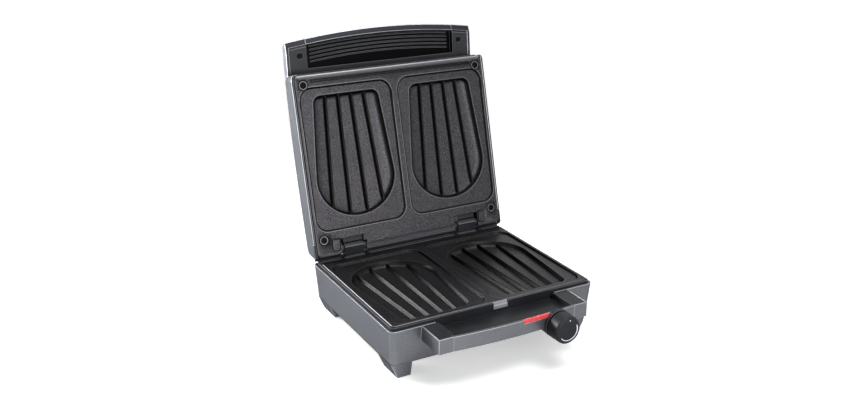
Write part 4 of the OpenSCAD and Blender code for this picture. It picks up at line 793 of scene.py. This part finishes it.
def rearSection():
    (y0, y1), low, top = rearSkirt["y"], rearSkirt["low"], rearSkirt["top"]
    return [(y0, low), (y1 - 0.3, 68.6), (y1 + 0.5, 68.95), (y1 + 0.5, 69.6), (y1 + 0.2, 69.6),
            (y1 + 0.2, top), (y0, top)]


def cornerSection():
    (y0, y1), low, top = rearSkirt["y"], rearSkirt["low"], rearSkirt["top"]
    front, z = rearSkirt["sideFrontY"], rearSkirt["sideZ"]
    return [(front, z), (y0 - 0.9, z), (y0 + 0.65, low - 0.7), (y1, 69.0), (y1, top), (front, top)]


bothSides = ((-1, "Left"), (1, "Right"))
for side, label in bothSides:
    extrusion("towerHead" + label, towerSection(), towerHead["x"], side, "black_plastic", "base", baseToRow,
              towerHead["round"], onTowerHighlight)
    extrusion("lidRearSkirt" + label, rearSection(), rearSkirt["outX"], side, "black_plastic", "lid",
              lidToRow)
    extrusion("lidCornerSkirt" + label, cornerSection(), rearSkirt["sideX"], side, "black_plastic", "lid",
              lidToRow)
extrusion("lidRearSkirtMiddle", rearSection(), (-rearSkirt["midX"], rearSkirt["midX"]), 1, "black_plastic",
          "lid", lidToRow)

# the ends of the two ridges beside each hinge block
ridgeEnds = {"y": ((191.5, 192.4), (196.3, 197.2)), "z": (61.4, 63.4),
             "x": {"Inner": (60.0, 66.2), "Outer": (92.3, 98.4)}}
for side, label in bothSides:
    for where, span in ridgeEnds["x"].items():
        for i, (y0, y1) in enumerate(ridgeEnds["y"]):
            z0, z1 = ridgeEnds["z"]
            extrusion("ridgeEnd" + label + where + str(i + 1), [(y0, z0), (y1, z0), (y1, z1), (y0, z1)],
                      span, side, "black_plastic", "base", baseToRow)

cheek = {"x": (62.35, 66.05),
         "section": [(189.3, 63.9), (195.5, 63.9), (196.2, 64.6), (196.2, 67.6), (189.3, 67.6)]}
# closes the notch in front of each hinge block
hingeCover = {"x": (66.3, 92.2),
              "section": [(189.3, 67.4), (194.4, 66.7), (194.55, 67.0), (193.3, 70.6), (189.3, 70.8)]}
towerFoot = {"x": {"Inner": (62.4, 66.45), "Outer": (92.05, 96.1)},
             "section": [(196.3, 61.4), (199.5, 61.4), (199.5, 65.2), (196.3, 65.2)]}
for side, label in bothSides:
    extrusion("plateCheek" + label, cheek["section"], cheek["x"], side, "nonstick_plate", "lid", lidToRow)
    extrusion("hingeCover" + label, hingeCover["section"], hingeCover["x"], side, "black_plastic", "lid",
              lidToRow)
    for where, span in towerFoot["x"].items():
        extrusion("towerFoot" + label + where, towerFoot["section"], span, side, "black_plastic", "base",
                  baseToRow)
print("tower heads and rear skirt made")


# Knob: turned body with a slightly dished face, a band of ink and a pointer dot
knobLook = {"x": 51.2, "z": 45.6, "backY": -46.3, "length": 15.6, "r": 16.0, "backR": 16.2, "edge": 2.8,
            "dish": 0.25, "boreR": 3.0, "hubR": 5.4, "wall": 2.6, "hollow": 11.6, "segments": 96,
            "smoothDeg": 30}
marks = {"sunk": 0.02, "dotClock": 6, "dotAt": 11.7, "dotR": 0.75, "dotRows": 13, "dotEnd": 0.98,
         "arcFrom": 64, "arcTo": 236, "arcAt": 11.5, "arcRows": 61, "thick": 1.5, "thin": 0.6}


# points at (radius, clock angle in degrees) round the knob's axis
def roundKnob(r, clockDeg, y):
    t = math.radians(clockDeg)
    return (knobLook["x"] + r * math.sin(t), y, knobLook["z"] + r * math.cos(t))


# section points are (radius, length along the axis)
def knobProfile():
    k = knobLook
    front, inner = k["length"], k["r"] - k["edge"]
    nose = [(inner + k["edge"] * math.cos(t), front - k["edge"] + k["edge"] * math.sin(t))
            for t in np.radians(np.linspace(0, 90, 9))]
    return ([(0.02, k["hollow"]), (k["boreR"], k["hollow"]), (k["boreR"], 0.0), (k["hubR"], 0.0),
             (k["hubR"], k["hollow"]), (k["r"] - k["wall"], k["hollow"]), (k["r"] - k["wall"], 0.0),
             (k["backR"] - 0.6, 0.0), (k["backR"] - 0.2, 0.15), (k["backR"], 0.6), (k["backR"], 3.0),
             (k["r"] + 0.02, 3.6)] + nose
            + [(inner - 0.5, front - 0.03), (inner - 1.4, front - k["dish"] * 0.7),
               (inner - 2.6, front - k["dish"]), (0.02, front - k["dish"])])


def turnedKnob(name):
    profile, turns = knobProfile(), knobLook["segments"]
    vertices = [roundKnob(r, 360 * i / turns, knobLook["backY"] - along)
                for r, along in profile for i in range(turns)]
    faces = []
    for j in range(len(profile)):
        a, b = j * turns, ((j + 1) % len(profile)) * turns
        for i in range(turns):
            k = (i + 1) % turns
            faces.append((a + i, a + k, b + k, b + i))
    makeObject(name, baseToRow(vertices), faces, "knob_black", "knob", ["knob"], knobLook["smoothDeg"])


turnedKnob("thermostatKnob")


# A thin closed film that fills the dish up to the front, from rows of points across the band
def inkPatch(name, rows):
    frontY = knobLook["backY"] - knobLook["length"]
    vertices = [roundKnob(r, clock, frontY + lift) for lift in (knobLook["dish"] + marks["sunk"], 0.0)
                for row in rows for r, clock in row]
    n, m = len(rows), len(rows[0])
    half = n * m
    faces = []
    for j in range(n - 1):
        for i in range(m - 1):
            a, b = j * m + i, (j + 1) * m + i
            faces.append((half + a, half + a + 1, half + b + 1, half + b))
            faces.append((a, b, b + 1, a + 1))
    rim = (list(range(m)) + [j * m + m - 1 for j in range(1, n)]
           + [(n - 1) * m + i for i in range(m - 2, -1, -1)] + [j * m for j in range(n - 2, 0, -1)])
    for a, b in zip(rim, rim[1:] + rim[:1]):
        faces.append((a, b, half + b, half + a))
    makeObject(name, baseToRow(vertices), faces, "ink", "knob")


def bandRow(at, half, clock):
    return [(at - half, clock), (at + half, clock)]


arcRows = []
for share in np.linspace(0, 1, marks["arcRows"]):
    clock = marks["arcFrom"] + (marks["arcTo"] - marks["arcFrom"]) * share
    half = (marks["thick"] + (marks["thin"] - marks["thick"]) * share) / 2
    half *= min(1, 0.35 + 12 * min(share, 1 - share))  # soft ends
    arcRows.append(bandRow(marks["arcAt"], half, clock))
inkPatch("knobScaleArc", arcRows)
dotRows = []
for share in np.linspace(-marks["dotEnd"], marks["dotEnd"], marks["dotRows"]):
    half = marks["dotR"] * math.sqrt(1 - share ** 2)
    clock = marks["dotClock"] + math.degrees(share * marks["dotR"] / marks["dotAt"])
    dotRows.append(bandRow(marks["dotAt"], half, clock))
inkPatch("knobPointerDot", dotRows)
print("knob made")

for nodeName, node in frame["nodes"].items():
    node.data.materials.clear()
    node.data.materials.append(finishes[slotOf[nodeName]])

# Camera, from a fit to the corners of the base, lid and feet
shot = {"azimuth": -29.31, "elevation": 20.62, "roll": 0.41, "focalPx": 1000.6, "widthPx": 854,
        "filmMm": 36, "at": (-0.5491, -0.9319, 0.5475), "clip": (0.01, 50)}
az, el, roll = (math.radians(shot[key]) for key in ("azimuth", "elevation", "roll"))
back = Vector((math.sin(az) * math.cos(el), -math.cos(az) * math.cos(el), math.sin(el)))
right = (-back).cross(Vector((0, 0, 1))).normalized()
up = right.cross(-back)
camRight = math.cos(roll) * right + math.sin(roll) * up
camUp = -math.sin(roll) * right + math.cos(roll) * up
camera = bpy.data.objects.new("camera", bpy.data.cameras.new("camera"))
scene.collection.objects.link(camera)
camera.data.sensor_width = shot["filmMm"]
camera.data.lens = shot["focalPx"] / shot["widthPx"] * shot["filmMm"]
camera.data.clip_start, camera.data.clip_end = shot["clip"]
turn = Matrix((camRight, camUp, back)).transposed()
camera.matrix_world = Matrix.Translation(shot["at"]) @ turn.to_4x4()
scene.camera = camera


# rays that come by way of something shiny or clear, which show the white background too
def mirrorRays(tree):
    path = add(tree, "ShaderNodeLightPath")
    either = add(tree, "ShaderNodeMath", {"operation": "MAXIMUM"},
                 {0: path.outputs["Is Glossy Ray"], 1: path.outputs["Is Transmission Ray"]})
    return either.outputs[0]


def panel(name, corners):
    mesh = bpy.data.meshes.new(name)
    mesh.from_pydata(corners, [], [(0, 1, 2, 3)])
    made = bpy.data.objects.new(name, mesh)
    scene.collection.objects.link(made)
    return made


# pale paper that keeps the object's shadow and fades to white away from it
def makeFloor():
    look = {"sizeM": 12, "grey": "#f4f4f4", "lift": 0.42, "fadeFromM": 0.35, "fadeToM": 0.85}
    s = look["sizeM"] / 2
    floor = panel("floor", [(-s, -s, 0), (s, -s, 0), (s, s, 0), (-s, s, 0)])
    material = bpy.data.materials.new("paperSweep")
    material.use_nodes = True
    tree = material.node_tree
    tree.nodes.clear()
    diffuse = add(tree, "ShaderNodeBsdfDiffuse", {"Color": hexColour(look["grey"])})
    lift = add(tree, "ShaderNodeEmission", {"Color": (1, 1, 1, 1), "Strength": look["lift"]})
    lit = add(tree, "ShaderNodeAddShader", {}, {0: diffuse.outputs[0], 1: lift.outputs[0]})
    white = add(tree, "ShaderNodeEmission", {"Color": (1, 1, 1, 1), "Strength": 1.0})
    far = add(tree, "ShaderNodeVectorMath", {"operation": "LENGTH"},
              {0: add(tree, "ShaderNodeTexCoord").outputs["Object"]})
    fade = add(tree, "ShaderNodeMapRange", {"interpolation_type": "SMOOTHSTEP", "From Min": look["fadeFromM"],
                                            "From Max": look["fadeToM"]}, {"Value": far.outputs["Value"]})
    seen = add(tree, "ShaderNodeMixShader", {},
               {0: fade.outputs["Result"], 1: lit.outputs[0], 2: white.outputs[0]})
    mirrored = add(tree, "ShaderNodeMath", {"operation": "MULTIPLY"},
                   {0: fade.outputs["Result"], 1: mirrorRays(tree)})
    plain = add(tree, "ShaderNodeMixShader", {},
                {0: mirrored.outputs[0], 1: diffuse.outputs[0], 2: white.outputs[0]})
    path = add(tree, "ShaderNodeLightPath")
    shader = add(tree, "ShaderNodeMixShader", {},
                 {0: path.outputs["Is Camera Ray"], 1: plain.outputs[0], 2: seen.outputs[0]})
    add(tree, "ShaderNodeOutputMaterial", {}, {"Surface": shader.outputs[0]})
    floor.data.materials.append(material)


# a low dark card behind the object, seen only in its sheen, keeps the grazing faces dark
def makeCard():
    look = {"x": (-0.6, 2.2), "y": 1.2, "z": (0.02, 0.45), "grey": "#0c0c0e"}
    (x0, x1), y, (z0, z1) = look["x"], look["y"], look["z"]
    card = panel("darkCard", [(x0, y, z0), (x1, y, z0), (x1, y, z1), (x0, y, z1)])
    material = bpy.data.materials.new("blackCard")
    material.use_nodes = True
    shader = material.node_tree.nodes["Principled BSDF"]
    shader.inputs["Base Color"].default_value = hexColour(look["grey"])
    card.data.materials.append(material)
    card.visible_camera = card.visible_diffuse = card.visible_shadow = False


# a white backdrop for what is seen straight on or mirrored, and an even soft light for the rest
def makeWorld():
    look = {"ambient": "#f2f4f8", "strength": 0.26}
    world = bpy.data.worlds.new("studio")
    scene.world = world
    world.use_nodes = True
    tree = world.node_tree
    tree.nodes.clear()
    ambient = add(tree, "ShaderNodeBackground",
                  {"Color": hexColour(look["ambient"]), "Strength": look["strength"]})
    backdrop = add(tree, "ShaderNodeBackground", {"Color": (1, 1, 1, 1), "Strength": 1.0})
    path = add(tree, "ShaderNodeLightPath")
    white = add(tree, "ShaderNodeMath", {"operation": "MAXIMUM"},
                {0: path.outputs["Is Camera Ray"], 1: mirrorRays(tree)})
    sky = add(tree, "ShaderNodeMixShader", {},
              {0: white.outputs[0], 1: ambient.outputs[0], 2: backdrop.outputs[0]})
    add(tree, "ShaderNodeOutputWorld", {}, {"Surface": sky.outputs[0]})


makeFloor()
makeCard()
makeWorld()

lamps = [  # name, place, aimed at, size in metres, power in watts
    ("leftBox", (-1.3, 1.1, 0.4), (0, 0, 0.05), 0.8, 60),       # the left walls
    ("plateBox", (0.12, -1.6, 0.42), (0, 0.1, 0.17), 1.1, 16),  # the open lid's plate and the front
    ("edgeBox", (0.35, -0.45, 1.6), (0, 0, 0.1), 0.8, 14),      # from above, along the edges
    ("rearBox", (-0.8, 1.4, 0.9), (0, 0, 0.05), 0.8, 10),       # the back of the lid
]
for name, at, aim, size, power in lamps:
    light = bpy.data.lights.new(name, "AREA")
    light.energy, light.size = power, size
    lamp = bpy.data.objects.new(name, light)
    scene.collection.objects.link(lamp)
    lamp.location = at
    lamp.rotation_euler = (Vector(aim) - Vector(at)).to_track_quat("-Z", "Y").to_euler()

scene.view_settings.view_transform = "Standard"
print("camera, floor and lamps made:", len(lamps))
